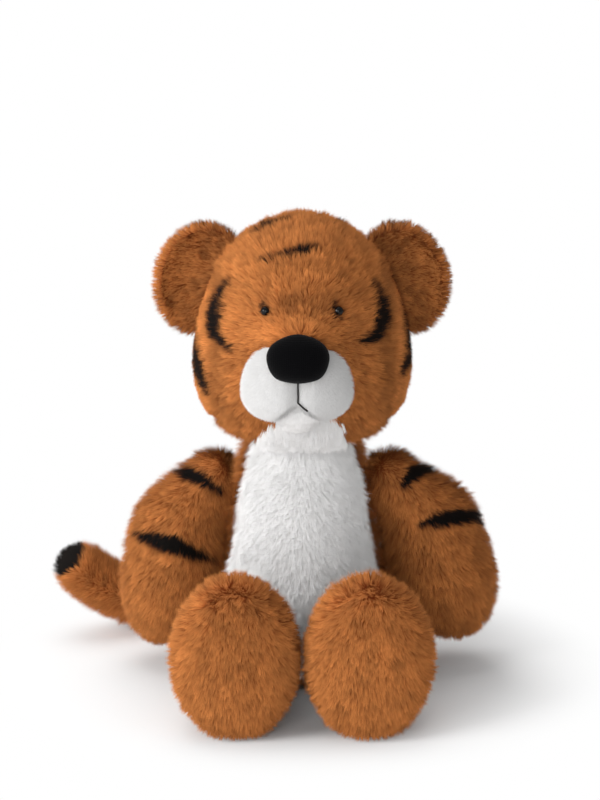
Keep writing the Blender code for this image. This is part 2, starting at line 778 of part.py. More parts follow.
def build_head(carrier):
    """Makes the head's three panels, its filling, the face and the eyes."""
    panel, filling = skin_and_filling("head_centre_panel", "head_stuffing", head_cage, carrier)
    for target in (panel, filling):
        cut(target, neck_hollow)
    reach = HEAD_WIDTH
    low, high = HEAD_LOW - OVERRUN, HEAD_HIGH + OVERRUN
    for side, sign in SIDES:
        cheek = second_panel(panel, "head_side_" + side, orange_plush)
        near = sign * (PANEL_HALF_WIDTH + CLEAR / 2.0)
        far = sign * reach
        corner = Vector((min(near, far), -reach, low))
        opposite = Vector((max(near, far), reach, high))
        cut(cheek, block("cheek_" + side, corner, opposite), "INTERSECT")
    half = PANEL_HALF_WIDTH - CLEAR / 2.0
    middle_slab = block("face_slab", Vector((-half, -reach, low)), Vector((half, reach, high)))
    cut(panel, middle_slab, "INTERSECT")

    head_form = clearance_form("head_form", head_cage, 0.0)
    head_clear = clearance_form("head_clear", head_cage, CLEAR)
    bpy.context.view_layer.update()
    for side, sign in SIDES:
        build_eye(side, sign, carrier, head_form, panel, filling)

    def chin_cage():
        middle = Vector((-FACE_ASIDE, -CHIN_FORWARD, CHIN_MIDDLE_HEIGHT))
        return pad_cage(middle, CHIN_WIDTH, CHIN_DEPTH, CHIN_HEIGHT)

    def nose_cage():
        stations = []
        for height, width, depth in NOSE_SHARES:
            level = NOSE_MIDDLE_HEIGHT + height * NOSE_HEIGHT
            across = Vector((width * NOSE_WIDTH / 2.0, 0.0, 0.0))
            deep = Vector((0.0, depth * NOSE_DEPTH / 2.0, 0.0))
            stations.append((Vector((-FACE_ASIDE, -NOSE_FORWARD, level)), across, deep))
        return cage(stations, PAD_SIDES)

    pads = {}
    for name, make_pad, surface in (
        ("muzzle", muzzle_cage, white_plush),
        ("chin_pad", chin_cage, white_plush),
        ("nose_pad", nose_cage, nose_knit),
    ):
        pads[name] = add_mesh(name, make_pad(), carrier, surface)
        smooth(pads[name], FORM_LEVELS)
        cut(pads[name], head_clear)
    muzzle_clear = clearance_form("muzzle_clear", muzzle_cage, CLEAR)
    cut(pads["chin_pad"], muzzle_clear)
    cut(pads["nose_pad"], muzzle_clear)
    muzzle_form = clearance_form("muzzle_form", muzzle_cage, 0.0)
    chin_form = clearance_form("chin_form", chin_cage, 0.0)
    bpy.context.view_layer.update()
    build_mouth(carrier, (muzzle_form, chin_form))


def arm_axis(side, sign):
    """Returns the direction from a shoulder to its hand."""
    lean = math.radians(ARM_LEAN_DEG[side])
    return Vector((sign * math.sin(lean), 0.0, -math.cos(lean)))


def build_arm(side, sign, carrier):
    """Makes one arm's skin and filling, round along a line that bows outwards."""
    axis = arm_axis(side, sign)
    across = UP.cross(axis).normalized()
    deep = axis.cross(across).normalized()
    outward = Vector((-sign * axis.z, 0.0, sign * axis.x))
    shoulder = carried_at(carrier)

    def arm_cage():
        stations = []
        for along, radius, bow in ARM_SHARES:
            middle = shoulder + axis * along * ARM_LENGTH + outward * bow * ARM_BOW
            reach = radius * ARM_RADIUS
            stations.append((middle, across * reach, deep * reach))
        return cage(stations, LIMB_SIDES)

    names = ("arm_" + side + "_skin", "arm_" + side + "_stuffing")
    skin, filling = skin_and_filling(*names, arm_cage, carrier)
    inside = shoulder - Vector((2.0 * sign * SHOULDER_RADIUS, 0.0, 0.0))
    cut(skin, rod("arm_opening_" + side, inside, shoulder, SHOULDER_RADIUS / 2.0))


def build_leg(side, sign, carrier):
    """Makes one leg's skin, its sole and its filling."""
    hip = carried_at(carrier)

    def leg_cage():
        stations = []
        for along, foot, size in LEG_SHARES:
            way = max(0.0, min(1.0, along))
            x = sign * (HIP_SPREAD + (FOOT_SPREAD - HIP_SPREAD) * way)
            wide = LEG_RADIUS + (FOOT_WIDTH / 2.0 - LEG_RADIUS) * foot
            tall = LEG_RADIUS + (FOOT_HEIGHT / 2.0 - LEG_RADIUS) * foot
            ground = HIP_HEIGHT - LEG_RADIUS
            level = ground * (1.0 - foot) - FLOOR_CUT * foot + tall
            middle = Vector((x, hip.y - along * LEG_LENGTH, level))
            stations.append((middle, Vector((wide * size, 0.0, 0.0)), UP * tall * size))
        return cage(stations, LIMB_SIDES)

    names = ("leg_" + side + "_skin", "leg_" + side + "_stuffing")
    skin, filling = skin_and_filling(*names, leg_cage, carrier)
    cut(skin, floor)
    sole = second_panel(skin, "foot_sole_" + side, orange_plush)
    sole_y = hip.y - LEG_LENGTH + SOLE_DOME
    forward = Vector((0.0, -1.0, 0.0))
    seam = Vector((hip.x, sole_y, HIP_HEIGHT))
    span = 3.0 * FOOT_HEIGHT
    cut(skin, slab_beyond("foot_opening_" + side, seam, forward, span))
    sole_start = seam + forward * CLEAR
    cut(sole, slab_beyond("sole_front_" + side, sole_start, forward, span), "INTERSECT")
    behind = hip - forward * HIP_RADIUS * 2.0
    cut(skin, rod("leg_opening_" + side, behind, hip, HIP_RADIUS / 2.0))


def tail_points():
    """Returns the tail's stations as (middle, radius), from its root to its end."""
    root = Vector((0.0, TAIL_ROOT_BACK, TAIL_ROOT_HEIGHT))
    points = []
    for reach, back, rise, radius in TAIL_SHARES:
        shift = Vector((-reach * TAIL_REACH, back * TAIL_BACK, rise * TAIL_RISE))
        points.append((root + shift, radius * TAIL_RADIUS))
    return points


def build_tail(carrier):
    """Makes the tail's skin, its black tip and its filling along a bent line."""
    points = tail_points()

    def tail_cage():
        stations = []
        for index, (middle, radius) in enumerate(points):
            before = points[max(0, index - 1)][0]
            after = points[min(len(points) - 1, index + 1)][0]
            run = (after - before).normalized()
            across = UP.cross(run).normalized()
            deep = run.cross(across).normalized()
            stations.append((middle, across * radius, deep * radius))
        return cage(stations, TAIL_SIDES)

    skin, filling = skin_and_filling("tail_skin", "tail_stuffing", tail_cage, carrier)
    end, before_end = points[-1][0], points[-3][0]
    run = (end - before_end).normalized()
    seam = end - run * TAIL_TIP
    tip = second_panel(skin, "tail_tip", black_plush)
    span = 4.0 * TAIL_RADIUS
    cut(skin, slab_beyond("tail_end", seam, run, span))
    cut(tip, slab_beyond("tip_end", seam + run * CLEAR, run, span), "INTERSECT")
    root, second = points[0][0], points[2][0]
    cut(skin, rod("tail_opening", root * 2.0 - second, second, TAIL_ROOT_RADIUS / 2.0))


for old in list(bpy.data.objects):
    bpy.data.objects.remove(old, do_unlink=True)

parts = collection("plush_tiger")
cutters = collection("cutters")

orange_plush = material("orange_plush", (0.50, 0.18, 0.05), 0.95)
white_plush = material("white_plush", (0.82, 0.80, 0.77), 0.95)
black_plush = material("black_plush", (0.015, 0.012, 0.010), 0.95)
nose_knit = material("nose_knit", (0.006, 0.006, 0.007), 0.85)
thread = material("thread", (0.03, 0.02, 0.02), 0.80)
eye_plastic = material("eye_plastic", (0.004, 0.004, 0.004), 0.12)
washer_plastic = material("washer_plastic", (0.70, 0.70, 0.68), 0.45)
fibre = material("polyester_fibre", (0.90, 0.90, 0.88), 1.0)
cotton = material("cotton_bag", (0.75, 0.70, 0.60), 0.95)

neck = UP * NECK_HEIGHT
tail_root = Vector((0.0, TAIL_ROOT_BACK, TAIL_ROOT_HEIGHT))
shoulders = {
    side: Vector((sign * SHOULDER_SPREAD, SHOULDER_BACK, SHOULDER_HEIGHT)) for side, sign in SIDES
}
hips = {side: Vector((sign * HIP_SPREAD, -HIP_FORWARD, HIP_HEIGHT)) for side, sign in SIDES}

ground = 2.0 * TAIL_REACH
floor = block("floor", Vector((-ground, -ground, -OVERRUN)), Vector((ground, ground, 0.0)))
neck_hollow = ball("neck_hollow", neck, NECK_RADIUS + SEAT_CLEAR, NECK_SIDES)
seats = [neck_trim(), ball("tail_seat", tail_root, TAIL_ROOT_RADIUS + SEAT_CLEAR)]
for side, sign in SIDES:
    seats.append(ball("shoulder_seat_" + side, shoulders[side], SHOULDER_RADIUS + SEAT_CLEAR))
    seats.append(ball("hip_seat_" + side, hips[side], HIP_RADIUS + SEAT_CLEAR))

torso = empty("torso", NOWHERE)
build_torso(torso)

neck_turn = empty("neck_turn", neck, torso)
seat_ring("neck_seam", neck_turn, neck, UP, NECK_RADIUS, NECK_SEAM_RADIUS)
head = empty("head", neck, neck_turn)
build_head(head)

ear_height = HEAD_HIGH - EAR_ROOT_BELOW_CROWN
ear_spread = head_half_width(ear_height) + EAR_ROOT_OUT
for side, sign in SIDES:
    ear_root = Vector((sign * ear_spread, EAR_ROOT_BACK, ear_height))
    build_ear(side, sign, empty("ear_" + side, ear_root, head))

for side, sign in SIDES:
    roll = empty("arm_roll_" + side, shoulders[side], torso)
    inward = Vector((-sign, 0.0, 0.0))
    seat_ring(
        "shoulder_seam_" + side,
        roll,
        shoulders[side],
        inward,
        SHOULDER_RADIUS,
        SHOULDER_SEAM_RADIUS,
    )
    build_arm(side, sign, empty("arm_" + side, shoulders[side], roll))

    swing = empty("leg_swing_" + side, hips[side], torso)
    tilt = math.radians(HIP_SEAM_TILT_DEG)
    backward = Vector((0.0, math.cos(tilt), math.sin(tilt)))
    seat_ring("hip_seam_" + side, swing, hips[side], backward, HIP_RADIUS, HIP_SEAM_RADIUS)
    build_leg(side, sign, empty("leg_" + side, hips[side], swing))

tail_swing = empty("tail_swing", tail_root, torso)
inward = Vector((0.0, -1.0, 0.0))
seat_ring("tail_seam", tail_swing, tail_root, inward, TAIL_ROOT_RADIUS, TAIL_SEAM_RADIUS)
build_tail(empty("tail", tail_root, tail_swing))
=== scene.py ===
# %% [markdown]
# # A sitting plush tiger
# A stuffed toy is a set of cloth skins, each sewn shut round its own filling. The CAD model gives
# those pieces and their joints. This lesson dresses it: each skin is shaped again in finer mesh,
# drawn in by the depth of its fur, and then planted with real blades of pile. The work goes from
# the camera to the forms, the pile, the finishes, each part of the body, and the light.

import math
from contextlib import contextmanager

import bmesh
import bpy
import numpy as np
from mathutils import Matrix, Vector
from mathutils.bvhtree import BVHTree
from mathutils.kdtree import KDTree


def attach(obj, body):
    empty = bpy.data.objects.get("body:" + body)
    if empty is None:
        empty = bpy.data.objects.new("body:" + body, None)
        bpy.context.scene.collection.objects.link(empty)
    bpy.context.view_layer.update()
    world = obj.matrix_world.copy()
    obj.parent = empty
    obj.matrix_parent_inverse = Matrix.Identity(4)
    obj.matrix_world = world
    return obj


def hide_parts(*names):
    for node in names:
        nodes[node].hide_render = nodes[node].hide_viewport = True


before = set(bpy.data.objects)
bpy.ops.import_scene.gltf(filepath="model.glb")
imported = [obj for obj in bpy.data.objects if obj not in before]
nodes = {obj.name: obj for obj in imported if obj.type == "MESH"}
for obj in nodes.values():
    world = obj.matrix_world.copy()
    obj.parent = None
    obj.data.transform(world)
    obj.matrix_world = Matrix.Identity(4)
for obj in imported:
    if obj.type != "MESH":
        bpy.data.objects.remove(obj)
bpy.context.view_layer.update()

# %% [markdown]
# ## Camera
# The photograph looks slightly down on the toy with a long lens. The camera stands 1.45 m from a
# point in the chest. Its focal length is written in pixels of the 600 by 800 picture, so a place
# measured on the picture can be cast back onto a form, which is how the stripes find their place.

# %% Place the camera
ELEVATION = math.radians(14.0)
DISTANCE = 1.450
AIM = Vector((-0.001, 0.0, 0.143))
PICTURE = (600, 800)
FOCAL_PX = 2821.0
AHEAD = Vector((0.0, math.cos(ELEVATION), -math.sin(ELEVATION)))
ABOVE = Vector((0.0, math.sin(ELEVATION), math.cos(ELEVATION)))
EYE = AIM - AHEAD * DISTANCE
bpy.ops.object.camera_add(location=EYE, rotation=(math.pi / 2.0 - ELEVATION, 0.0, 0.0))
camera = bpy.context.active_object
camera.data.sensor_fit = "VERTICAL"
camera.data.sensor_height = 36.0
camera.data.lens = FOCAL_PX / PICTURE[1] * camera.data.sensor_height
camera.data.clip_end = 20.0
bpy.context.scene.camera = camera


def pixels_of(points):
    """Returns where points show on the picture, in pixels."""
    away = points - np.array(EYE)
    depth = away @ np.array(AHEAD)
    across, up = away[:, 0] / depth, away @ np.array(ABOVE) / depth
    return np.stack((PICTURE[0] / 2.0 + FOCAL_PX * across, PICTURE[1] / 2.0 - FOCAL_PX * up), 1)


print("lens", round(camera.data.lens, 1), "mm")

# %% [markdown]
# ## Shaping a stuffed form
# A stuffed form is a closed bag that swells and tapers along one line. A UV sphere is such a bag
# already: each of its rings is scaled and moved in edit mode to a measured station. A row of a
# station table is (sideways, forward or back, height) of the ring's middle and its two half
# sizes. A curve through the rows gives the rings between them. At both ends the sizes mirror
# through zero, so the pole closes in a dome.


# %% Shape a form from a table of rings
STEPS = 4
MM = 0.001


def rings_between(rows):
    """Returns finer rows on a Catmull-Rom curve through rows, with a dome at each end."""
    rows = np.array(rows, float)
    flip = np.array((1.0, 1.0, 1.0, -1.0, -1.0))
    rows = np.vstack((rows[1] * flip, rows, rows[-2] * flip))
    fine = []
    for a, b, c, d in zip(rows, rows[1:], rows[2:], rows[3:]):
        for step in range(STEPS):
            t = step / STEPS
            bend = (2 * a - 5 * b + 4 * c - d) * t * t + (3 * b - a - 3 * c + d) * t**3
            fine.append(b + ((c - a) * t + bend) / 2.0)
    return np.array(fine + [rows[-2]])


def pick(*chosen):
    """Selects only these objects, the last of them active."""
    bpy.ops.object.select_all(action="DESELECT")
    for obj in chosen:
        obj.select_set(True)
    bpy.context.view_layer.objects.active = chosen[-1]


@contextmanager
def editing(obj, chosen="DESELECT"):
    """Opens an object in edit mode, with all of its points selected or none."""
    pick(obj)
    bpy.ops.object.mode_set(mode="EDIT")
    bpy.ops.mesh.select_all(action=chosen)
    yield bmesh.from_edit_mesh(obj.data)
    bpy.ops.object.mode_set(mode="OBJECT")


def shaped(name, rows, sides, scale=MM):
    """Adds a UV sphere and fits its rings to the rows, which run from the top down."""
    rings = rings_between(np.array(rows) * scale)
    count = len(rings) - 1
    bpy.ops.mesh.primitive_uv_sphere_add(segments=sides, ring_count=count, radius=1.0)
    made = bpy.context.active_object
    made.name = made.data.name = name
    on_ring = [[] for ring in rings]
    with editing(made) as bm:
        for vert in bm.verts:
            polar = math.acos(max(-1.0, min(1.0, vert.co.z)))
            on_ring[round(polar / math.pi * count)].append(vert)
        for k, (x, y, z, wide, deep) in enumerate(rings):
            bpy.ops.mesh.select_all(action="DESELECT")
            for vert in on_ring[k]:
                vert.select = True
            level, reach = math.cos(math.pi * k / count), math.sin(math.pi * k / count)
            if 0 < k < count:
                bpy.ops.transform.resize(
                    value=(wide / reach, deep / reach, 1.0), center_override=(0.0, 0.0, level)
                )
            bpy.ops.transform.translate(value=(x, y, z - level))
    bpy.ops.object.shade_smooth()
    return made


def apply_modifier(obj, kind, **settings):
    """Adds a modifier with these settings and applies it."""
    pick(obj)
    bpy.ops.object.modifier_add(type=kind)
    modifier = obj.modifiers[-1]
    for key, value in settings.items():
        setattr(modifier, key, value)
    bpy.ops.object.modifier_apply(modifier=modifier.name)


def stand(obj, place, turn=(0.0, 0.0, 0.0)):
    """Turns and moves an object, then puts its place in its mesh."""
    obj.location = place
    obj.rotation_euler = turn
    pick(obj)
    bpy.ops.object.transform_apply(location=True, rotation=True, scale=True)
    return obj


def copy_of(obj, name):
    """Copies an object with its own mesh."""
    made = obj.copy()
    made.data = obj.data.copy()
    made.name = made.data.name = name
    bpy.context.scene.collection.objects.link(made)
    return made


def drawn_in(obj, depth):
    """Moves a closed surface inwards by depth."""
    apply_modifier(obj, "DISPLACE", direction="NORMAL", mid_level=0.0, strength=-depth)
    return obj


def half_of(obj, name, point, outward):
    """Copies the part of an object that lies beyond a plane, on its outward side."""
    made = copy_of(obj, name)
    with editing(made, "SELECT"):
        bpy.ops.mesh.bisect(plane_co=point, plane_no=outward, clear_inner=True)
    return made


def faces_of(obj, name, keep):
    """Copies the faces of an object whose middle passes a test."""
    made = copy_of(obj, name)
    with editing(made):
        bpy.ops.mesh.select_mode(type="FACE")
        for face in bmesh.from_edit_mesh(made.data).faces:
            face.select = not keep(face.calc_center_median())
        bpy.ops.mesh.delete(type="FACE")
        bpy.ops.mesh.select_mode(type="VERT")
    return made


def subtract(obj, cutter):
    """Cuts obj with a closed cutter."""
    apply_modifier(obj, "BOOLEAN", operation="DIFFERENCE", object=cutter, solver="EXACT")


def ball(middle, radius):
    """Adds a round cutter."""
    bpy.ops.mesh.primitive_uv_sphere_add(segments=40, ring_count=20, radius=radius)
    return stand(bpy.context.active_object, middle)


def tree_of(obj):
    """Returns a search tree over an object's faces."""
    bm = bmesh.new()
    bm.from_mesh(obj.data)
    tree = BVHTree.FromBMesh(bm)
    bm.free()
    return tree


# %% [markdown]
# ## Letting a form swell
# Filling presses a sewn skin outwards until the cloth holds it. Cloth simulation with pressure
# does the same: the form starts a little small, swells for twenty frames with gravity off, and
# the move of each point is capped, so the skin stays in the space that its CAD solid holds.


# %% Swell a form by cloth simulation
SWELL_CAP = 0.0016
SWELL_FRAMES = 20
SWELL_PRESSURE = 4.0


def read(mesh, layer, key, width):
    """Reads one value of each item of a mesh layer into an array."""
    data = np.empty(len(getattr(mesh, layer)) * width, np.float64)
    getattr(mesh, layer).foreach_get(key, data)
    return data.reshape(-1, width) if width > 1 else data


def swollen(obj):
    """Swells a closed form by pressure, by no more than the cap."""
    drawn_in(obj, SWELL_CAP / 2.0)
    before = read(obj.data, "vertices", "co", 3)
    pick(obj)
    bpy.ops.object.modifier_add(type="CLOTH")
    cloth = obj.modifiers[-1]
    cloth.settings.use_pressure = True
    cloth.settings.uniform_pressure_force = SWELL_PRESSURE
    cloth.settings.effector_weights.gravity = 0.0
    cloth.point_cache.frame_end = SWELL_FRAMES
    for number in range(1, SWELL_FRAMES + 1):
        bpy.context.scene.frame_set(number)
    bpy.ops.object.modifier_apply(modifier=cloth.name)
    move = read(obj.data, "vertices", "co", 3) - before
    far = np.linalg.norm(move, axis=1)
    cap = np.minimum(1.0, SWELL_CAP / np.maximum(far, 1e-9))
    obj.data.vertices.foreach_set("co", (before + move * cap[:, None]).ravel())
    obj.data.update()
    bpy.context.scene.frame_set(1)
    print(obj.name, "swelled", round(float(far.max()) * 1000.0, 2), "mm before the cap")
    return obj


# %% [markdown]
# ## Stripes
# The stripes are dyed in the tips of the pile, so a stripe's edge is as ragged as the fur. Where
# the front shows a stripe, it is a line drawn on the picture, with a half width in pixels at each
# point, and a blade takes the dye if it shows near that line. Where the front doesn't show it, it
# is a line wound round the form, and a blade takes the dye if it is near that line in space.


# %% Lay stripes on a form
SAMPLES = 40
RAGGED_PX, FADE_PX = 1.3, 3.6
RAGGED_MM, FADE_MM = 0.7, 1.8
NEAR = 0.008


def drawn_stripe(*stations):
    """Returns the segments of a stripe through (across, down, half width) in pixels."""
    return [(*a, *b) for a, b in zip(stations, stations[1:])]


def wound_stripe(tree, middle, across, deep, angles, width):
    """Returns samples of a stripe that runs round a form from one angle in degrees to another."""
    samples = []
    for step in range(SAMPLES + 1):
        angle = math.radians(angles[0] + (angles[1] - angles[0]) * step / SAMPLES)
        ray = Vector(across) * math.cos(angle) + Vector(deep) * math.sin(angle)
        hit = tree.ray_cast(Vector(middle), ray.normalized())[0]
        if hit is not None:
            swell = 0.25 + 0.75 * math.sin(math.pi * step / SAMPLES)
            samples.append((*hit, width * swell))
    return samples


def dyed(points, out, drawn=(), wound=(), ragged=0.0):
    """Returns how much dye each point takes, from 0 to 1. ragged moves the edge, in mm."""
    mask = np.zeros(len(points))
    if len(drawn):
        spot = pixels_of(points)
        gap = np.full(len(points), 1e3)
        for ax, ay, aw, bx, by, bw in drawn:
            along = np.array((bx - ax, by - ay))
            t = np.clip((spot - (ax, ay)) @ along / (along @ along), 0.0, 1.0)
            far = np.linalg.norm(spot - (ax, ay) - t[:, None] * along, axis=1)
            gap = np.minimum(gap, far - aw - (bw - aw) * t)
        facing = np.sum(out * unit(np.array(EYE) - points), axis=1) > 0.0
        mask = np.clip(0.5 - (gap - RAGGED_PX * ragged) / FADE_PX, 0.0, 1.0) * facing
    if len(wound):
        samples = np.array(wound)
        tree = KDTree(len(samples))
        for index, sample in enumerate(samples):
            tree.insert(sample[:3], index)
        tree.balance()
        low, high = samples[:, :3].min(0) - NEAR, samples[:, :3].max(0) + NEAR
        ragged = np.broadcast_to(ragged, len(points))
        for index in np.flatnonzero(((points > low) & (points < high)).all(1)):
            place, found, distance = tree.find(points[index])
            gap = (distance - samples[found, 3]) / MM - RAGGED_MM * ragged[index]
            mask[index] = max(mask[index], min(1.0, max(0.0, 0.5 - gap / FADE_MM)))
    return mask


# %% [markdown]
# ## Pile
# Hair particles don't leave Blender, so the pile is mesh: each blade is one long thin triangle,
# because at this size nothing of a bend would show. Blades lean along a comb direction and draw
# together in small tufts, and the tufts in larger patches, which lean, stand and shade a little
# differently. That is what makes plush look soft and not like a brush. The tufts are cells of a
# grid in space, each with its middle at a random place. A blade's normal leans towards the
# skin's own, so the pile takes light softly.


# %% Plant a pile
DEPTH = 3.0 * MM
BLADE_WIDTH = 0.00034
DENSITY = 6.5
FLOOR_HEIGHT = 0.0004
MARKS = 4096
HASH = np.array((73856093, 19349663, 83492791))
DYE_AT = 0.75
PATCH = 3.0
LEAST_RISE = 0.35


def unit(vectors):
    """Scales each row to length one."""
    return vectors / np.maximum(np.linalg.norm(vectors, axis=1, keepdims=True), 1e-9)


def dots(vectors, others):
    """Returns the dot product of each pair of rows, as a column."""
    return np.sum(vectors * others, axis=1, keepdims=True)


def tufts(points, spacing, rng):
    """Returns the middle of each point's nearest tuft, and that tuft's mark."""
    table = rng.random((MARKS, 3))
    home = np.floor(points / spacing).astype(np.int64)
    nearest = np.full(len(points), np.inf)
    middle, mark = np.zeros_like(points), np.zeros(len(points), np.int64)
    for step in np.ndindex(3, 3, 3):
        cell = home + np.array(step) - 1
        number = np.bitwise_xor.reduce(cell * HASH, axis=1) % MARKS
        place = (cell + table[number]) * spacing
        far = np.sum((place - points) ** 2, axis=1)
        nearer = far < nearest
        nearest[nearer], middle[nearer], mark[nearer] = far[nearer], place[nearer], number[nearer]
    return middle, mark


def planted(
    cloth, length, comb, lean=1.0, shag=0.5, clump=1.5 * MM, density=1.0, bare=None,
    stripes=((), ()), tone=None, lit=(0.0, 0.0, 0.0), seed=1,
):
    """Returns the blades of a pile as arrays.

    length and comb are values or functions of the roots and their normals. lean is how far a
    blade tips along the comb, shag how much the tufts differ, and clump their spacing. bare
    returns True for the roots to leave out. stripes are the drawn and the wound ones. tone gives
    the painted light and shade to add to the shade at each root, and lit turns the normals, as
    hair does that hangs away from its skin.
    """
    rng = np.random.default_rng(seed)
    mesh = cloth.data
    mesh.calc_loop_triangles()
    corner = read(mesh, "loop_triangles", "vertices", 3).astype(int)
    loops = read(mesh, "loop_triangles", "loops", 3).astype(int)
    co = read(mesh, "vertices", "co", 3)
    normal = read(mesh, "vertices", "normal", 3)
    uv = read(mesh.uv_layers.active, "data", "uv", 2)
    a, b, c = (co[corner[:, k]] for k in range(3))
    area = np.linalg.norm(np.cross(b - a, c - a), axis=1) / 2.0
    count = int(area.sum() * 1e6 * DENSITY * density)
    face = rng.choice(len(area), count, p=area / area.sum())
    r = np.sqrt(rng.random(count))[:, None]
    s = rng.random(count)[:, None]
    weights = (1.0 - r, r * (1.0 - s), r * s)
    root = sum(w * co[corner[face, k]] for k, w in enumerate(weights))
    out = unit(sum(w * normal[corner[face, k]] for k, w in enumerate(weights)))
    flat = sum(w * uv[loops[face, k]] for k, w in enumerate(weights))
    if bare is not None:
        keep = ~bare(root)
        root, out, flat = root[keep], out[keep], flat[keep]

    fine_middle, fine = tufts(root, clump, rng)
    patch = tufts(root, clump * PATCH, rng)[1]
    fine_draw = rng.normal(size=(MARKS, 5))[fine]
    patch_draw = rng.normal(size=(MARKS, 5))[patch]
    size = (length(root, out) if callable(length) else np.full(len(root), length))[:, None]
    flow = comb(root, out) if callable(comb) else np.tile(np.array(comb, float), (len(root), 1))
    flow = flow - out * dots(flow, out)
    flow = unit(flow) * np.minimum(1.0, np.linalg.norm(flow, axis=1, keepdims=True))
    tall = 1.0 + shag * np.clip(0.15 * fine_draw[:, 3:4] + 0.10 * patch_draw[:, 3:4], -0.5, 0.5)
    size = size * tall * rng.uniform(0.78, 1.06, (len(root), 1))
    tilt = shag * (0.26 * fine_draw[:, :3] + 0.30 * patch_draw[:, :3])
    heading = unit(out + flow * lean + tilt)
    lie = unit(heading + rng.normal(0.0, 0.10, root.shape))
    lie = unit(lie + out * np.maximum(0.0, LEAST_RISE - dots(lie, out)))
    tip = root + lie * size
    level = fine_middle - out * dots(fine_middle - root, out)
    tip = tip + (level + heading * size - tip) * rng.uniform(0.10, 0.50, (len(root), 1))
    tip[:, 2] = np.maximum(tip[:, 2], FLOOR_HEIGHT + 0.0006 * rng.random(len(tip)))
    side = unit(np.cross(tip - root, out)) * BLADE_WIDTH / 2.0
    side = side * rng.uniform(0.8, 1.2, (len(root), 1))
    soft = unit(out + np.array(lit) + 0.6 * tilt + rng.normal(0.0, 0.05, root.shape))
    side[dots(np.cross(side, tip - root), soft)[:, 0] < 0.0] *= -1.0
    ragged = 0.9 * fine_draw[:, 4] + 0.5 * rng.normal(size=len(root))
    dark = dyed(root + (tip - root) * DYE_AT, out, *stripes, ragged)
    shade = np.clip(0.5 + 0.12 * fine_draw[:, 4] + 0.15 * patch_draw[:, 4], 0.0, 1.0)
    shade = shade * 0.8 + 0.2 * rng.random(len(root))
    # tone adds painted light and shade to the clump's shade, on the face and ears.
    if tone is not None:
        shade = np.clip(shade + tone(root, out), 0.0, 1.0)
    return {
        "co": np.stack((root - side, root + side, tip), 1).reshape(-1, 3),
        "normal": np.repeat(soft, 3, 0),
        "uv": flat,
        "along": np.tile((0.0, 0.0, 1.0), len(root)),
        "stripe": np.repeat(dark, 3),
        "shade": np.repeat(shade, 3),
    }


# %% [markdown]
# ## Dressing a piece
# The skin is thickened inwards to a cloth, and its mesh and the blades become one mesh, because
# on the real toy the pile is woven into its cloth. Three values ride on every point: how far
# along its blade it is, its dye, and its clump's own shade, with painted light and shade added
# on the face and ears.

# %% Join cloth and pile in one mesh
UV_REACH = 0.0012


def furred(cloth, finish, length, comb, thickness=1.2 * MM, cutter=None, **pile):
    """Plants a pile on a skin, gives the skin its thickness, and makes one mesh of both."""
    blades = planted(cloth, length, comb, **pile)
    if thickness:
        apply_modifier(cloth, "SOLIDIFY", thickness=thickness, offset=-1.0)
    if cutter:
        subtract(cloth, cutter)
    old = cloth.data
    co = read(old, "vertices", "co", 3)
    normal = read(old, "vertices", "normal", 3)
    start = read(old, "polygons", "loop_start", 1).astype(int)
    total = read(old, "polygons", "loop_total", 1).astype(int)
    corner = read(old, "loops", "vertex_index", 1).astype(int)
    flat = read(old.uv_layers.active, "data", "uv", 2)
    count = len(blades["uv"])
    spread = np.array(((-1, 0), (1, 0), (0, 2)), float) * UV_REACH / 2.0
    blade_flat = (blades["uv"][:, None] + spread).reshape(-1, 2)
    all_co = np.vstack((co, blades["co"]))
    all_corner = np.concatenate((corner, len(co) + np.arange(3 * count)))
    all_start = np.concatenate((start, len(corner) + 3 * np.arange(count)))
    mesh = bpy.data.meshes.new(cloth.name)
    mesh.vertices.add(len(all_co))
    mesh.loops.add(len(all_corner))
    mesh.polygons.add(len(all_start))
    mesh.vertices.foreach_set("co", all_co.ravel())
    mesh.loops.foreach_set("vertex_index", all_corner)
    mesh.polygons.foreach_set("loop_start", all_start)
    mesh.update(calc_edges=True)
    layer = mesh.uv_layers.new(name="OFBake")
    layer.data.foreach_set("uv", np.vstack((flat, blade_flat)).ravel())
    dark = dyed(co + normal * DEPTH, normal, *pile.get("stripes", ((), ())))
    ground = {"along": np.zeros(len(co)), "stripe": dark, "shade": np.full(len(co), 0.5)}
    for key, values in ground.items():
        attribute = mesh.attributes.new("pile_" + key, "FLOAT", "POINT")
        values = np.concatenate((values, blades[key])).astype(np.float32)
        attribute.data.foreach_set("value", values)
    mesh.shade_smooth()
    mesh.normals_split_custom_set_from_vertices(np.vstack((normal, blades["normal"])).tolist())
    mesh.materials.append(finish)
    cloth.data = mesh
    bpy.data.meshes.remove(old)
    print(cloth.name, "blades", count, "triangles", len(total) * 2 + count)


# %% [markdown]
# ## Finishes
# Every plush cloth is one idea with other colours: dark at the root where little light gets in,
# lighter at the tip, a slightly different shade in each clump, painted light and shade on the
# face and ears, and black where the stripe's dye is. That idea is a node group, so each cloth
# only gives its own colours. The shader stays in the material. A blade seen from its back would
# be lit from there, so the normal is turned again.

# %% Make the plush group and the cloths
def srgb(red, green, blue):
    """Turns a colour read from a screen, 0 to 255, to Blender's linear colour."""
    values = [c / 255.0 for c in (red, green, blue)]
    return [v / 12.92 if v <= 0.04045 else ((v + 0.055) / 1.055) ** 2.4 for v in values] + [1.0]


def node(tree, kind, **settings):
    """Adds a node. A setting in_0 or in_Name is the value of an input, or a socket to link."""
    made = tree.nodes.new(kind)
    for key, value in settings.items():
        if not key.startswith("in_"):
            setattr(made, key, value)
            continue
        title = key[3:].replace("_", " ")
        socket = made.inputs[int(title) if title.isdigit() else title]
        if isinstance(value, bpy.types.NodeSocket):
            tree.links.new(value, socket)
        else:
            socket.default_value = value
    return made


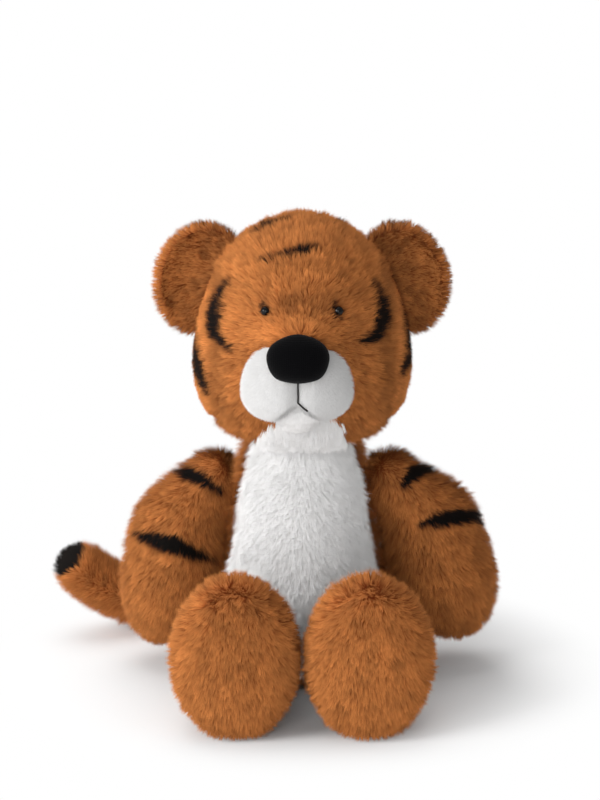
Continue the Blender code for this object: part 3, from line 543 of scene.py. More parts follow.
def mixed(tree, blend, share, first, second):
    """Adds a colour mix of two sockets, by a socket or a number."""
    mix = {"data_type": "RGBA", "blend_type": blend, "in_0": share, "in_6": first, "in_7": second}
    return node(tree, "ShaderNodeMix", **mix).outputs[2]


plush_group = bpy.data.node_groups.new("plush", "ShaderNodeTree")
for title in ("Root", "Tip", "Dye"):
    plush_group.interface.new_socket(name=title, in_out="INPUT", socket_type="NodeSocketColor")
plush_group.interface.new_socket(name="Variation", in_out="INPUT", socket_type="NodeSocketFloat")
plush_group.interface.new_socket(name="Colour", in_out="OUTPUT", socket_type="NodeSocketColor")
root, tip, dye, variation = node(plush_group, "NodeGroupInput").outputs[:4]
along, dye_mask, clump_and_painted_shade = (
    node(plush_group, "ShaderNodeAttribute", attribute_name="pile_" + key).outputs["Fac"]
    for key in ("along", "stripe", "shade")
)
place = node(plush_group, "ShaderNodeTexCoord").outputs["Object"]
patch = node(plush_group, "ShaderNodeTexNoise", in_0=place, in_2=45.0, in_3=3.0).outputs["Fac"]
shades = [mixed(plush_group, "MIX", along, root, tip)]
for value, limits in ((patch, (0.3, 0.7, 0.93, 1.05)), (clump_and_painted_shade, (0.0, 1.0, 0.58, 1.34))):
    ends = {"in_%d" % (k + 1): limit for k, limit in enumerate(limits)}
    ranged = node(plush_group, "ShaderNodeMapRange", in_0=value, **ends).outputs[0]
    shades.append(mixed(plush_group, "MULTIPLY", variation, shades[-1], ranged))
node(plush_group, "NodeGroupOutput", in_0=mixed(plush_group, "MIX", dye_mask, shades[-1], dye))


def new_material(name, **inputs):
    """Makes a material with these shader inputs, and returns it with its tree and its shader."""
    material = bpy.data.materials.new(name)
    material.use_nodes = True
    shader = material.node_tree.nodes["Principled BSDF"]
    for title, value in inputs.items():
        shader.inputs[title.replace("_", " ")].default_value = value
    return material, material.node_tree, shader


def plush(name, root, tip, variation):
    """Makes a plush cloth of two screen colours. variation is how much its tufts differ."""
    root, tip = srgb(*root), srgb(*tip)
    material, tree, shader = new_material(
        name, Roughness=0.85, Specular_IOR_Level=0.15, Sheen_Weight=0.05, Sheen_Roughness=0.5,
        Sheen_Tint=tip,
    )
    cloth = node(
        tree, "ShaderNodeGroup", node_tree=plush_group, in_Root=root, in_Tip=tip,
        in_Dye=STRIPE_DYE, in_Variation=variation,
    )
    seen = node(tree, "ShaderNodeNewGeometry").outputs
    turn = node(tree, "ShaderNodeMapRange", in_0=seen["Backfacing"], in_3=1.0, in_4=-1.0).outputs[0]
    soft = node(
        tree, "ShaderNodeVectorMath", operation="SCALE", in_0=seen["Normal"], in_Scale=turn
    )
    tree.links.new(cloth.outputs[0], shader.inputs["Base Color"])
    tree.links.new(soft.outputs[0], shader.inputs["Normal"])
    return material


STRIPE_DYE = srgb(12, 8, 6)
orange = plush("orange_plush", (122, 57, 19), (208, 131, 70), 1.0)
white = plush("white_plush", (246, 245, 243), (254, 253, 252), 0.14)
# The muzzle's white is a darker copy of the same white plush: painted shade that tones down its lit
# front.
shaded_muzzle_white = plush("short_white_plush_painted_shade", (216, 215, 214), (228, 227, 226), 0.10)
black = plush("black_plush", (10, 8, 7), (26, 21, 18), 1.0)
print("plush cloths", orange.name, white.name, shaded_muzzle_white.name, black.name)

# %% [markdown]
# The small hard and woven pieces have a grain each: a knit for the nose, two crossed waves for
# the cotton bag and the thread, and loose noise for the fibre and the plastics. The grain goes
# to a Bump node, and a little of it to the colour, so that it still reads in flat light.

# %% Make the grained finishes
def grained(name, light, dark, roughness, kind, size, bump, **inputs):
    """Makes a finish whose grain, of a size in metres, darkens and bumps the surface."""
    material, tree, shader = new_material(name, Roughness=roughness, **inputs)
    place = node(tree, "ShaderNodeTexCoord").outputs["Object"]
    if kind == "noise":
        grain = node(tree, "ShaderNodeTexNoise", in_0=place, in_2=1.0 / size, in_3=4.0)
    else:
        waves = [
            node(
                tree, "ShaderNodeTexWave", bands_direction=direction, in_0=place, in_1=0.31 / size,
                in_Distortion=1.2, in_Detail_Scale=3.0,
            ).outputs["Fac"]
            for direction in "XZ"
        ]
        cross = "MULTIPLY" if kind == "knit" else "MAXIMUM"
        grain = node(tree, "ShaderNodeMath", operation=cross, in_0=waves[0], in_1=waves[1])
    height = grain.outputs[0]
    relief = node(tree, "ShaderNodeBump", in_Strength=0.6, in_Distance=bump, in_Height=height)
    tone = mixed(tree, "MIX", height, srgb(*dark), srgb(*light))
    tree.links.new(tone, shader.inputs["Base Color"])
    tree.links.new(relief.outputs[0], shader.inputs["Normal"])
    return material


nose_knit = grained(
    "nose_knit", (10, 9, 11), (3, 3, 4), 0.80, "knit", 0.0009, 0.0003,
    Specular_IOR_Level=0.02, Sheen_Weight=0.04,
)
bead = grained(
    "eye_plastic", (6, 5, 5), (3, 3, 3), 0.03, "noise", 0.0020, 0.00001, Specular_IOR_Level=0.24
)
thread, washer, fibre, cotton = (
    grained(*look)
    for look in (
        ("thread", (34, 28, 27), (14, 11, 10), 0.75, "weave", 0.0006, 0.0001),
        ("washer_plastic", (218, 217, 212), (205, 203, 196), 0.45, "noise", 0.0030, 0.00005),
        ("polyester_fibre", (244, 243, 240), (205, 204, 200), 1.0, "noise", 0.0016, 0.0008),
        ("cotton_bag", (222, 212, 190), (176, 164, 140), 0.95, "weave", 0.0010, 0.0002),
    )
)

# %% [markdown]
# ## Seats
# Head, limbs and tail turn in shallow round hollows of the torso. A ball at each pivot marks
# such a hollow. The torso has no pile there, and the limb's own is short where it is covered.

# %% Mark the seats
SIDES = (("left", 1.0), ("right", -1.0))
NECK = Vector((0.0, 0.0, 112.0)) * MM
SHOULDERS = {side: Vector((sign * 47.2, 8.0, 100.0)) * MM for side, sign in SIDES}
HIPS = {side: Vector((sign * 32.5, -42.0, 26.5)) * MM for side, sign in SIDES}
TAIL_ROOT = Vector((0.0, 42.0, 14.5)) * MM
SEATS = [(TAIL_ROOT, 12.6)]
for side, sign in SIDES:
    SEATS += [(SHOULDERS[side], 18.6), (HIPS[side], 23.1)]
seats = [ball(middle, radius * MM) for middle, radius in SEATS]
SEAT_BALLS = [(middle, (radius + 0.4) * MM) for middle, radius in SEATS]


def in_balls(points, balls):
    """Returns which points lie inside any of the balls."""
    inside = np.zeros(len(points), bool)
    for middle, radius in balls:
        inside |= np.linalg.norm(points - np.array(middle), axis=1) < radius
    return inside


def inside_of(form, margin=0.0):
    """Returns a test for points that lie in a form, or within a margin outside it."""
    tree, corners = tree_of(form), read(form.data, "vertices", "co", 3)
    low, high = corners.min(0) - 1.0 * MM, corners.max(0) + 1.0 * MM

    def test(points):
        found = np.zeros(len(points), bool)
        for index in np.flatnonzero(((points > low) & (points < high)).all(1)):
            point = Vector(points[index])
            near, normal = tree.find_nearest(point)[:2]
            found[index] = (point - near).dot(normal) < margin
        return found

    return test


def finish_piece(piece, body, slot, *replaced, fill=None):
    """Hangs a piece on its body, and hides the CAD nodes that it replaces."""
    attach(piece, body)
    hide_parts(*replaced)


def filling_of(form, body, depth=DEPTH + 2.0 * MM, cutters=()):
    """Makes the fibre filling of a body's form, a little inside its skin."""
    filling = drawn_in(copy_of(form, body + "_filling"), depth)
    for cutter in cutters:
        subtract(filling, cutter)
    filling.data.materials.clear()
    filling.data.materials.append(fibre)
    finish_piece(filling, body, "fibre", body + "_stuffing", fill=0.8)


# %% [markdown]
# ## Torso
# A pear, widest just above the seat, with a domed neck that fills the hollow of the head. The
# white belly panel is cut from the same form: its faces are taken by their place inside the
# panel's outline, so the two cloths meet exactly. The belly's pile is denser and hangs down.

# %% Make the torso
torso_shares = [
    (1.072, 0.00, 0.00, 0.0), (1.045, 0.32, 0.32, 0.0), (0.985, 0.53, 0.54, 0.0),
    (0.860, 0.60, 0.63, 0.0), (0.740, 0.67, 0.80, 0.6), (0.600, 0.72, 0.92, 1.0),
    (0.440, 0.80, 0.97, 1.0), (0.260, 0.95, 0.92, 1.0), (0.100, 0.96, 0.85, 1.0),
    (0.018, 0.70, 0.68, 1.0), (-0.004, 0.00, 0.00, 1.0),
]
torso_rows = [(0, -3.0 * f, 136.0 * h, 47.0 * w, 47.0 * d) for h, w, d, f in torso_shares]
torso_form = swollen(shaped("torso_form", torso_rows, 48))
torso_tree = tree_of(torso_form)
filling_of(torso_form, "torso", cutters=seats)
BELLY_OUTLINE = [(132, 23.0), (110, 26.5), (87, 33.5), (59, 39.5), (31, 37.0), (10, 19.2)]
BELLY_MIDDLE = 2.0


def on_belly(point):
    """Returns whether a point of the torso lies in the white panel's outline."""
    heights, widths = zip(*BELLY_OUTLINE[::-1])
    x, y, z = (c / MM for c in point)
    wide = np.interp(z, heights, widths, left=0.0, right=0.0)
    return abs(x - BELLY_MIDDLE) < wide and y < -6.0


skin = drawn_in(copy_of(torso_form, "torso_cloth"), DEPTH)
torso = faces_of(skin, "torso_plush", lambda point: not on_belly(point))
belly = faces_of(skin, "belly_plush", on_belly)


def torso_bare(points):
    """Leaves out the seats and the top of the neck, deep in the head."""
    return in_balls(points, SEAT_BALLS) | (points[:, 2] > 0.138)


def torso_length(points, out):
    """Lets the pile stand longer beside the arms, and very short on the neck under the head."""
    long = 7.5 * MM + 5.5 * MM * np.abs(out[:, 0]) ** 2
    return np.interp(points[:, 2], (0.124, 0.130), (1.0, 0.0)) * (long - 1.6 * MM) + 1.6 * MM


def belly_length(points, out):
    """Shortens the white pile too where the head covers it."""
    return np.interp(points[:, 2], (0.126, 0.130), (8.0 * MM, 1.6 * MM))


def belly_flow(points, out):
    """Combs the white pile down, and out over the panel's edge."""
    level = np.ones(len(points))
    return np.stack((points[:, 0] * 14.0, -0.1 * level, -0.9 * level), 1)


back_stripes = []
for height, reach in ((0.112, 62), (0.094, 74), (0.074, 80), (0.053, 78), (0.032, 66)):
    for sign in (-1.0, 1.0):
        back_stripes += wound_stripe(
            torso_tree, (0.0, 0.0, height), (sign, 0.0, 0.05), (0.0, 1.0, -0.05),
            (90 - reach, 84), 0.0034,
        )
furred(
    torso, orange, torso_length, (0.0, 0.35, -0.7), bare=torso_bare, stripes=((), back_stripes),
    seed=11,
)
finish_piece(torso, "torso", "orange_plush", "torso_skin", fill=0.7)
furred(
    belly, white, belly_length, belly_flow, lean=1.1, shag=0.34, density=1.3, bare=torso_bare,
    lit=(-0.3, -1.5, 0.3), seed=12,
)
finish_piece(belly, "torso", "white_plush", "belly_panel", fill=0.7)

# %% [markdown]
# The bag of pellets lies under the filling. A flat pad with a lumpy surface reads as cotton over
# small round pellets.

# %% Make the pellet bag
bag_sizes = ((20.4, 0), (18.0, 16), (11.0, 24), (6.0, 24), (3.6, 14), (3.4, 0))
bag_rows = [(0, 0, height, size, size) for height, size in bag_sizes]
bag = shaped("seat_bag_of_pellets", bag_rows, 40)
lumps = bpy.data.textures.new("pellets", "VORONOI")
lumps.noise_scale = 3.5 * MM
apply_modifier(
    bag, "DISPLACE", texture=lumps, texture_coords="LOCAL", strength=-1.2 * MM, mid_level=0.0
)
bag.data.materials.append(cotton)
finish_piece(bag, "torso", "cotton", "seat_pellet_bag", fill=0.5)

# %% [markdown]
# ## Head
# The head is widest below its middle. It is cut in three: a shaggy centre panel that runs over
# the crown and two side panels with shorter, smoother pile. The pile parts at the nose and flows
# out over the face, and it is short beside the muzzle and the eyes.

# %% Make the head
head_shares = [
    (1.000, 0.00, 0.00), (0.930, 0.45, 0.50), (0.795, 0.735, 0.79), (0.630, 0.90, 0.95),
    (0.460, 0.99, 1.00), (0.300, 1.00, 0.98), (0.150, 0.90, 0.82), (0.040, 0.60, 0.52),
    (0.000, 0.00, 0.00),
]
head_rows = [(0, -4.0, 122.5 + 119.0 * h, 56.5 * w, 51.5 * d) for h, w, d in head_shares]
head_form = shaped("head_form", head_rows, 72)


def pull(obj, box, move, reach, falloff="SMOOTH"):
    """Moves the points of a form in a box, and those within reach less and less, all in mm."""
    middle, half, front, low, high = box
    with editing(obj) as bm:
        for vert in bm.verts:
            x, y, z = vert.co / MM
            vert.select = abs(x - middle) < half and y < front and low < z < high
        bpy.ops.transform.translate(
            value=[c * MM for c in move], use_proportional_edit=True,
            proportional_size=reach * MM, proportional_edit_falloff=falloff,
        )


pull(head_form, (-2, 12, -40, 183, 192), (0, -7.0, 1.5), 11.0)
for sign in (-1.0, 1.0):
    pull(head_form, (sign * 15, 3, -40, 196, 203), (0, -1.4, 0), 7.0)
for sign in (-1.0, 1.0):
    pull(head_form, (sign * 16, 6, -30, 208, 215), (0, -2.0, 0), 11.0)
swollen(head_form)
head_tree = tree_of(head_form)
neck_ball = ball(NECK, 35.6 * MM)
filling_of(head_form, "head", DEPTH + 2.4 * MM, [neck_ball])
NOSE = Vector((-2.0, -68.0, 180.8)) * MM
EYES = {
    side: head_tree.ray_cast(Vector((sign * 18.7, -200, 200.4)) * MM, Vector((0, 1, 0)))
    for side, sign in SIDES
}
PANEL_EDGE = 40.5 * MM
head_cloth = drawn_in(copy_of(head_form, "head_cloth"), DEPTH)
face_drawn = (
    drawn_stripe((258, 259, 0.5), (272, 254, 2), (288, 251, 3), (304, 248, 5), (318, 244, 1))
    + drawn_stripe((250, 231, 0.5), (268, 222, 2.5), (290, 217, 0.5))
    + drawn_stripe((338, 219, 0.5), (356, 221, 2.5), (372, 228, 0.5))
    + drawn_stripe((229, 277, 1.5), (219, 292, 4), (212, 310, 6.5), (213, 332, 7), (229, 352, 1.5))
    + drawn_stripe((194, 318, 1), (193, 345, 4), (198, 370, 6), (206, 393, 3))
    + drawn_stripe((374, 278, 1.5), (383, 298, 5), (385, 318, 7), (378, 336, 7), (362, 342, 2))
    + drawn_stripe((402, 296, 1.5), (410, 325, 5), (412, 352, 6), (403, 374, 2.5))
    + drawn_stripe((262, 302, 1.5), (262, 306, 3.5), (263, 311, 3.5))
    + drawn_stripe((335, 301, 1.5), (337, 306, 3.5), (340, 312, 4), (341, 319, 1.5))
)
face_wound = []
for height, reach in ((0.222, 40), (0.205, 58), (0.186, 66), (0.166, 66), (0.147, 52)):
    for sign in (-1.0, 1.0):
        face_wound += wound_stripe(
            head_tree, (0.0, -0.004, height), (sign, 0.0, 0.0), (0.0, 1.0, 0.1),
            (90 - reach, 82), 0.0032,
        )
FACE_STRIPES = (face_drawn, face_wound)


def face_flow(points, out):
    """Combs the pile away from the nose, and down at the back."""
    away = unit(points - np.array(NOSE + Vector((0.0, 0.012, 0.004))))
    away[:, 2] -= 0.35 * (points[:, 1] > -0.02)
    return away


def face_painted_light_and_tone(points, out):
    """Paints shade in the seams and above the bridge, and light on the bridge; lightens the side
    panels.
    """
    across, high = np.abs(points[:, 0] + 0.002), points[:, 2]
    seam = np.abs(points[:, 0]) - PANEL_EDGE
    # Painted shade along the seam creases; beyond them the side panels are a lighter tan.
    seam = np.interp(seam, (-0.006, -0.002, 0.002, 0.005), (0.0, -0.38, -0.38, 0.14))
    front = (points[:, 1] < -0.035) * np.interp(across, (0.014, 0.024), (1.0, 0.0))
    # Painted shade in the fold above the bridge, and painted light on the bridge's mound.
    painted_fold_shade = np.interp(high, (0.196, 0.200, 0.204, 0.209), (0.0, -0.22, -0.22, 0.0))
    painted_mound_light = np.interp(high, (0.184, 0.188, 0.193, 0.197), (0.0, 0.20, 0.20, 0.0))
    return seam + front * (painted_fold_shade + painted_mound_light)


def face_length(points, out):
    """Shortens the pile beside the muzzle and the eyes, and lets the bridge's stand long."""
    near = np.linalg.norm(points - np.array((-0.002, -0.056, 0.170)), axis=1)
    long = 6.4 * MM * np.interp(near, (0.026, 0.048), (0.70, 1.0))
    long = long * np.interp(np.abs(points[:, 0]), (0.030, 0.040), (1.0, 1.25))
    bridge = (points - np.array((-0.002, -0.060, 0.193))) / np.array((1.9, 1.0, 1.0))
    bridge = np.linalg.norm(bridge, axis=1)
    long = long + 3.4 * MM * np.interp(bridge, (0.004, 0.010), (1.0, 0.0))
    for hit in EYES.values():
        eye = np.linalg.norm(points - np.array(hit[0]), axis=1)
        long = long * np.interp(eye, (0.0020, 0.006), (0.75, 1.0))
    return long


# %% [markdown]
# The muzzle is made before the face is planted, because no pile grows where it sits. Its middle
# is drawn in along a groove, with a notch at the bottom where the chin meets it.

# %% Make the forms of the muzzle, chin and nose
muzzle_shares = [
    (1.00, 0, 0), (0.93, 0.52, 0.52), (0.74, 0.84, 0.86), (0.48, 1, 1), (0.22, 0.97, 0.97),
    (0.05, 0.66, 0.68), (0, 0, 0),
]
muzzle_rows = [(-2.4, -48.0, 145.5 + 42.5 * h, 27.0 * w, 24.0 * d) for h, w, d in muzzle_shares]
muzzle_form = shaped("muzzle_form", muzzle_rows, 96)
pull(muzzle_form, (-2, 0.9, -56, 0, 172), (0, 5.6, 0), 10.0, "SHARP")
pull(muzzle_form, (-2, 0.9, -50, 0, 150), (0, 0, 6.0), 11.0, "LINEAR")
swollen(muzzle_form)
muzzle_tree = tree_of(muzzle_form)
chin_rows = [
    (-2.0, -46.0, 152.0 + 9.5 * math.cos(a), 16.0 * math.sin(a), 17.0 * math.sin(a))
    for a in np.linspace(0, math.pi, 7)
]
chin_form = shaped("chin_form", chin_rows, 40)
nose_shares = [
    (0.49, 0, 0), (0.42, 0.48, 0.50), (0.27, 0.86, 0.88), (0.08, 1.02, 1.04),
    (-0.12, 1.0, 1.08), (-0.31, 0.87, 0.94), (-0.44, 0.62, 0.60), (-0.51, 0, 0),
]
nose_rows = [(-2.0, -68.0, 180.8 + 24.5 * h, 15.0 * w, 8.5 * d) for h, w, d in nose_shares]
nose = shaped("nose_knit_pad", nose_rows, 48)
in_muzzle, in_head = inside_of(muzzle_form, -0.0012), inside_of(head_form, -0.0005)


def face_bare(points):
    """Leaves out the neck's hollow, the eyes and what the muzzle covers."""
    beads = [(hit[0] - hit[1] * DEPTH, 1.1 * MM) for hit in EYES.values()]
    out = in_balls(points, [(NECK, 36.5 * MM)] + beads)
    front = points[:, 1] < -0.030
    out[front] |= in_muzzle(points[front])
    return out


# %% [markdown]
# The cloth is cut along the two seams and drawn in beside them, then parted into the panels and
# the white throat. Each panel is planted with the same comb, so that the fur runs on.

# %% Plant the head
with editing(head_cloth, "SELECT"):
    for sign in (-1.0, 1.0):
        bpy.ops.mesh.select_all(action="SELECT")
        bpy.ops.mesh.bisect(plane_co=(sign * PANEL_EDGE, 0, 0), plane_no=(sign, 0, 0))
        bpy.ops.transform.shrink_fatten(
            value=-2.6 * MM, use_proportional_edit=True, proportional_size=7.0 * MM,
            proportional_edit_falloff="SMOOTH",
        )


def on_throat(point):
    """Returns whether a point of the head's skin carries the white pile under the chin."""
    x, y, z = (c / MM for c in point)
    return y < -16.0 and math.hypot((x - 1.0) / 20.5, (z - 127.0) / 27.0) < 1.0


throat = faces_of(head_cloth, "throat", on_throat)
face_cloth = faces_of(head_cloth, "face_cloth", lambda point: not on_throat(point))
beyond = half_of(face_cloth, "beyond", (-PANEL_EDGE, 0, 0), (1, 0, 0))
centre = half_of(beyond, "head_centre_plush", (PANEL_EDGE, 0, 0), (-1, 0, 0))
bpy.data.objects.remove(beyond)
face = {"cutter": neck_ball, "thickness": 0.6 * MM, "bare": face_bare, "stripes": FACE_STRIPES}
furred(
    centre, orange, face_length, face_flow, lean=0.9, shag=0.55, clump=1.6 * MM, tone=face_painted_light_and_tone,
    seed=21, **face,
)
finish_piece(centre, "head", "orange_plush", "head_centre_panel", fill=0.8)
for side, sign in SIDES:
    edge, outward = (sign * PANEL_EDGE, 0, 0), (sign, 0, 0)
    cheek = half_of(face_cloth, "head_side_%s_plush" % side, edge, outward)
    furred(
        cheek, orange, 4.8 * MM, face_flow, lean=1.1, shag=0.30, tone=face_painted_light_and_tone, seed=22, **face
    )
    finish_piece(cheek, "head", "orange_plush", "head_side_" + side, fill=0.8)

# %% [markdown]
# The muzzle's white pile is very short. The chin's runs on into the throat's, which hangs long
# over the top of the belly, and so both are one piece.

# %% Plant the muzzle and chin
def muzzle_length(points, out):
    """Keeps the muzzle's pile very short, and lets it reach over the face at the rim."""
    return np.interp(out[:, 1], (-0.65, -0.15), (1.7 * MM, 3.9 * MM))


def throat_length(points, out):
    """Lets the chin's lower pile hang long, over the front of the throat."""
    return np.interp(points[:, 2], (0.136, 0.143, 0.147), (9.5 * MM, 7.0 * MM, 2.5 * MM))


def throat_flow(points, out):
    """Combs the chin's pile down and a little outwards."""
    across, level = points[:, 0], np.ones(len(points))
    return unit(np.stack(((across + 0.002) * 14.0, -0.1 * level, -1.0 * level), 1))


def chin_bare(points):
    """Leaves out the neck's hollow and what the muzzle covers."""
    return in_balls(points, [(NECK, 36.5 * MM)]) | inside_of(muzzle_form, -0.001)(points)


pads = {"thickness": 0.0, "density": 1.8, "lit": (0.0, -0.7, 0.3)}
muzzle = drawn_in(copy_of(muzzle_form, "muzzle_plush"), 1.0 * MM)
furred(
    muzzle, shaded_muzzle_white, muzzle_length, face_flow, shag=0.05, bare=in_head, seed=31, **pads
)
finish_piece(muzzle, "head", "white_plush", "muzzle", fill=0.8)
chin = drawn_in(copy_of(chin_form, "chin_plush"), 1.0 * MM)
pick(throat, chin)
bpy.ops.object.join()
furred(
    chin, white, throat_length, throat_flow, shag=0.24, clump=1.1 * MM, bare=chin_bare, seed=32,
    **pads,
)
finish_piece(chin, "head", "white_plush", "chin_pad", fill=0.8)
subtract(nose, head_form)
nose.data.materials.append(nose_knit)
finish_piece(nose, "head", "nose_knit", "nose_pad", fill=0.9)

# %% [markdown]
# The eyes are black beads on a shank, pressed so far into the pile that only their fronts
# show. Bead and shank are one turned form. The washers behind the cloth are the CAD's own.

# %% Make the eyes
bead_sizes = (
    (1.0, 0), (0.6, 1.4), (-0.2, 2.1), (-1.0, 2.3), (-1.6, 1.3), (-2.0, 1.0), (-5.6, 1.0), (-6.4, 0)
)
bead_rows = [(0, 0, height, size, size) for height, size in bead_sizes]
for side, sign in SIDES:
    spot, facing = EYES[side][:2]
    eye = shaped("eye_bead_" + side, bead_rows, 32)
    stand(eye, spot, facing.to_track_quat("Z", "Y").to_euler())
    eye.data.materials.append(bead)
    finish_piece(eye, "head", "eye_plastic", "eye_" + side)

# %% [markdown]
# ## Ears
# An ear is two plies, sewn round the rim and cupped to the front. The closed form is shaped on
# its side, from the middle of the front round the rim to the middle of the back, and is then
# parted along its middle sheet.

# %% Make the ears
EAR_HALF = (22.5, 28.0)
EAR_LEAN = math.radians(15.0)
EAR_SHARES = (0.0, 0.3, 0.55, 0.78, 0.92)


def cup(share):
    """Returns how far the ear's middle sheet stands behind its rim, in mm."""
    return 6.0 * (1.0 - share * share)


front = [(share, -(cup(share) - 3.5)) for share in EAR_SHARES]
back = [(share, -(cup(share) + 3.5)) for share in EAR_SHARES[::-1]]
ear_rows = [(0, 0, z, EAR_HALF[0] * r, EAR_HALF[1] * r) for r, z in front + [(1.0, 0.0)] + back]
ear_drawn = drawn_stripe((372, 221, 0.5), (382, 219, 2), (394, 221, 0.5))
for side, sign in SIDES:
    out_way = Vector((sign * math.cos(EAR_LEAN), 0.0, math.sin(EAR_LEAN)))
    down_way = Vector((sign * math.sin(EAR_LEAN), 0.0, -math.cos(EAR_LEAN)))
    middle = Vector((sign * 48.5, 0.0, 206.0)) * MM + out_way * 2.0 * MM
    ear = shaped("ear_form_" + side, ear_rows, 40)
    stand(ear, middle, (math.pi / 2.0, -sign * EAR_LEAN, 0.0))
    drawn_in(ear, 1.0 * MM)

    def is_front(point, middle=middle, out_way=out_way, down_way=down_way):
        """Returns whether a place lies in front of the ear's middle sheet."""
        reach = (point - middle).dot(out_way) / (EAR_HALF[0] * MM)
        tall = (point - middle).dot(down_way) / (EAR_HALF[1] * MM)
        return point.y < cup(min(1.0, math.hypot(reach, tall))) * MM

    def ear_painted_shade(points, out, root=middle - out_way * EAR_HALF[0] * MM, out_way=out_way):
        """Paints shade on the ear's root, where it folds against the head, and lightens its rim."""
        away = (points - np.array(root)) @ np.array(out_way)
        # Painted shade on the root next to the head; the rim is made lighter.
        return np.interp(away, (0.024, 0.036, 0.040, 0.045), (-0.36, 0.0, 0.0, 0.20))

    def ear_flow(points, out, start=middle - out_way * 20.0 * MM):
        """Combs the pile from the ear's root to its rim."""
        return unit(points - np.array(start))

    for ply, keep in (("front", is_front), ("back", lambda point: not is_front(point))):
        cloth = faces_of(ear, "ear_%s_%s_plush" % (side, ply), keep)
        furred(
            cloth, orange, 5.4 * MM, ear_flow, thickness=0.8 * MM, cutter=head_form, shag=0.4,
            bare=in_head, stripes=(ear_drawn, ()), tone=ear_painted_shade, seed=41,
        )
        finish_piece(cloth, "ear_" + side, "orange_plush", "ear_%s_%s" % (side, ply))
    bpy.data.objects.remove(ear)

# %% [markdown]
# ## Arms
# Each arm is a sausage that bows outwards. It is shaped upright and then leant out from the
# shoulder. The two lean by different angles, as in the picture.

# %% Make the arms
arm_shares = [
    (-0.176, 0.00, 0.00), (-0.133, 0.41, 0.00), (-0.020, 0.645, 0.05), (0.140, 0.79, 0.75),
    (0.330, 0.95, 1.00), (0.530, 1.00, 0.50), (0.740, 0.97, 0.05), (0.920, 0.60, -0.10),
    (1.000, 0.00, -0.10),
]
ARM_DRAWN = {
    "right": drawn_stripe((173, 470, 2.5), (186, 474, 8), (200, 480, 7), (222, 494, 3.5))
    + drawn_stripe((135, 535, 3), (152, 541, 8), (172, 546, 9.5), (196, 555, 6.5), (216, 563, 2.5)),
    "left": drawn_stripe((447, 463, 2.5), (432, 466, 6.5), (416, 473, 8), (405, 486, 3.5))
    + drawn_stripe((419, 526, 2), (436, 522, 7.5), (458, 518, 9), (478, 516, 7), (492, 527, 2.5)),
}
ARM_WOUND = ((0.20, (50, 140)), (0.38, (35, 150)), (0.56, (30, 150)), (0.76, (50, 160)))
ARM_LENGTH = 94.5
ARM_LEAN = {"left": 27.8, "right": 20.5}
ARM_FULLNESS = {"left": 3.4, "right": 2.4}
deep_in_torso, in_torso = inside_of(torso_form, -0.0050), inside_of(torso_form, -0.0010)


def seated(points, long):
    """Keeps the pile short where a limb lies in its seat, because a turn of the limb bares it."""
    return np.where(in_torso(points), 1.8 * MM, long)


for side, sign in SIDES:
    lean = math.radians(ARM_LEAN[side])
    rows = []
    for t, r, bow in arm_shares:
        full = ARM_FULLNESS[side] * max(0.0, math.sin(math.pi * min(1.0, max(0.0, t))))
        rows.append((sign * (bow * 7.5 - full), 0, -t * ARM_LENGTH, 25.8 * r + full, 25.8 * r))
    upright = shaped("arm_form_" + side, rows, 40)
    arm_form = swollen(stand(upright, SHOULDERS[side], (0.0, -sign * lean, 0.0)))
    arm_tree = tree_of(arm_form)
    down_arm = Vector((sign * math.sin(lean), 0.0, -math.cos(lean)))
    out_arm = Vector((sign * math.cos(lean), 0.0, math.sin(lean)))
    arm = drawn_in(copy_of(arm_form, "arm_%s_plush" % side), DEPTH)
    stripes = []
    for share, angles in ARM_WOUND:
        middle = SHOULDERS[side] + down_arm * share * ARM_LENGTH * MM + out_arm * 5.0 * MM
        stripes += wound_stripe(arm_tree, middle, out_arm, (0.0, 1.0, 0.0), angles, 0.0032)

    def arm_flow(points, out, sign=sign, down=np.array(down_arm)):
        """Combs the pile down the arm, and outwards over the shoulder."""
        top = np.interp(points[:, 2], (0.098, 0.112), (0.0, 1.0))[:, None]
        return down + top * np.array((sign * 1.0, -0.7, 0.0))

    def arm_length(points, out, sign=sign):
        """Lets the pile stand longer on the inside, where it fills the gap, but not on top."""
        inner = np.maximum(0.0, -sign * out[:, 0]) ** 2
        top = np.interp(points[:, 2], (0.098, 0.112), (0.0, 1.0))
        return seated(points, (6.8 + 4.2 * inner * (1.0 - top) - 1.0 * top) * MM)

    filling_of(arm_form, "arm_" + side)
    furred(
        arm, orange, arm_length, arm_flow, lean=0.9, shag=0.4, bare=deep_in_torso,
        stripes=(ARM_DRAWN[side], stripes), seed=51,
    )
    finish_piece(arm, "arm_" + side, "orange_plush", "arm_%s_skin" % side, fill=0.7)
    bpy.data.objects.remove(arm_form)

# %% [markdown]
# ## Legs and feet
# A leg is a tube that swells to a standing foot. It is shaped upright and laid forward. The sole
# is its own panel. Its pile is combed out to the rim and stands longer there, where it hides the
# seam, and the leg's pile is a little shorter beside it.

# %% Make the legs
leg_shares = [
    (1.020, 1.00, 0.00), (0.975, 1.00, 0.72), (0.880, 1.00, 1.00), (0.680, 0.75, 1.00),
    (0.450, 0.25, 1.00), (0.200, 0.02, 0.92), (-0.030, 0.00, 0.88), (-0.195, 0.00, 0.61),
    (-0.269, 0.00, 0.00),
]
leg_rows = []
for t, foot, size in leg_shares:
    wide, tall = 24.0 + 7.0 * foot, 24.0 + 18.5 * foot
    leg_rows.append((0, 2.5 * (1.0 - foot) - 0.5 * foot + tall, 80.0 * t, wide * size, tall * size))
SOLE = -115.0 * MM


def leg_length(points, out):
    """Shortens the pile beside the sole's seam."""
    beside = np.interp(np.abs(points[:, 1] - SOLE), (0.0, 0.008), (0.85, 1.0))
    return seated(points, 7.4 * MM * beside)


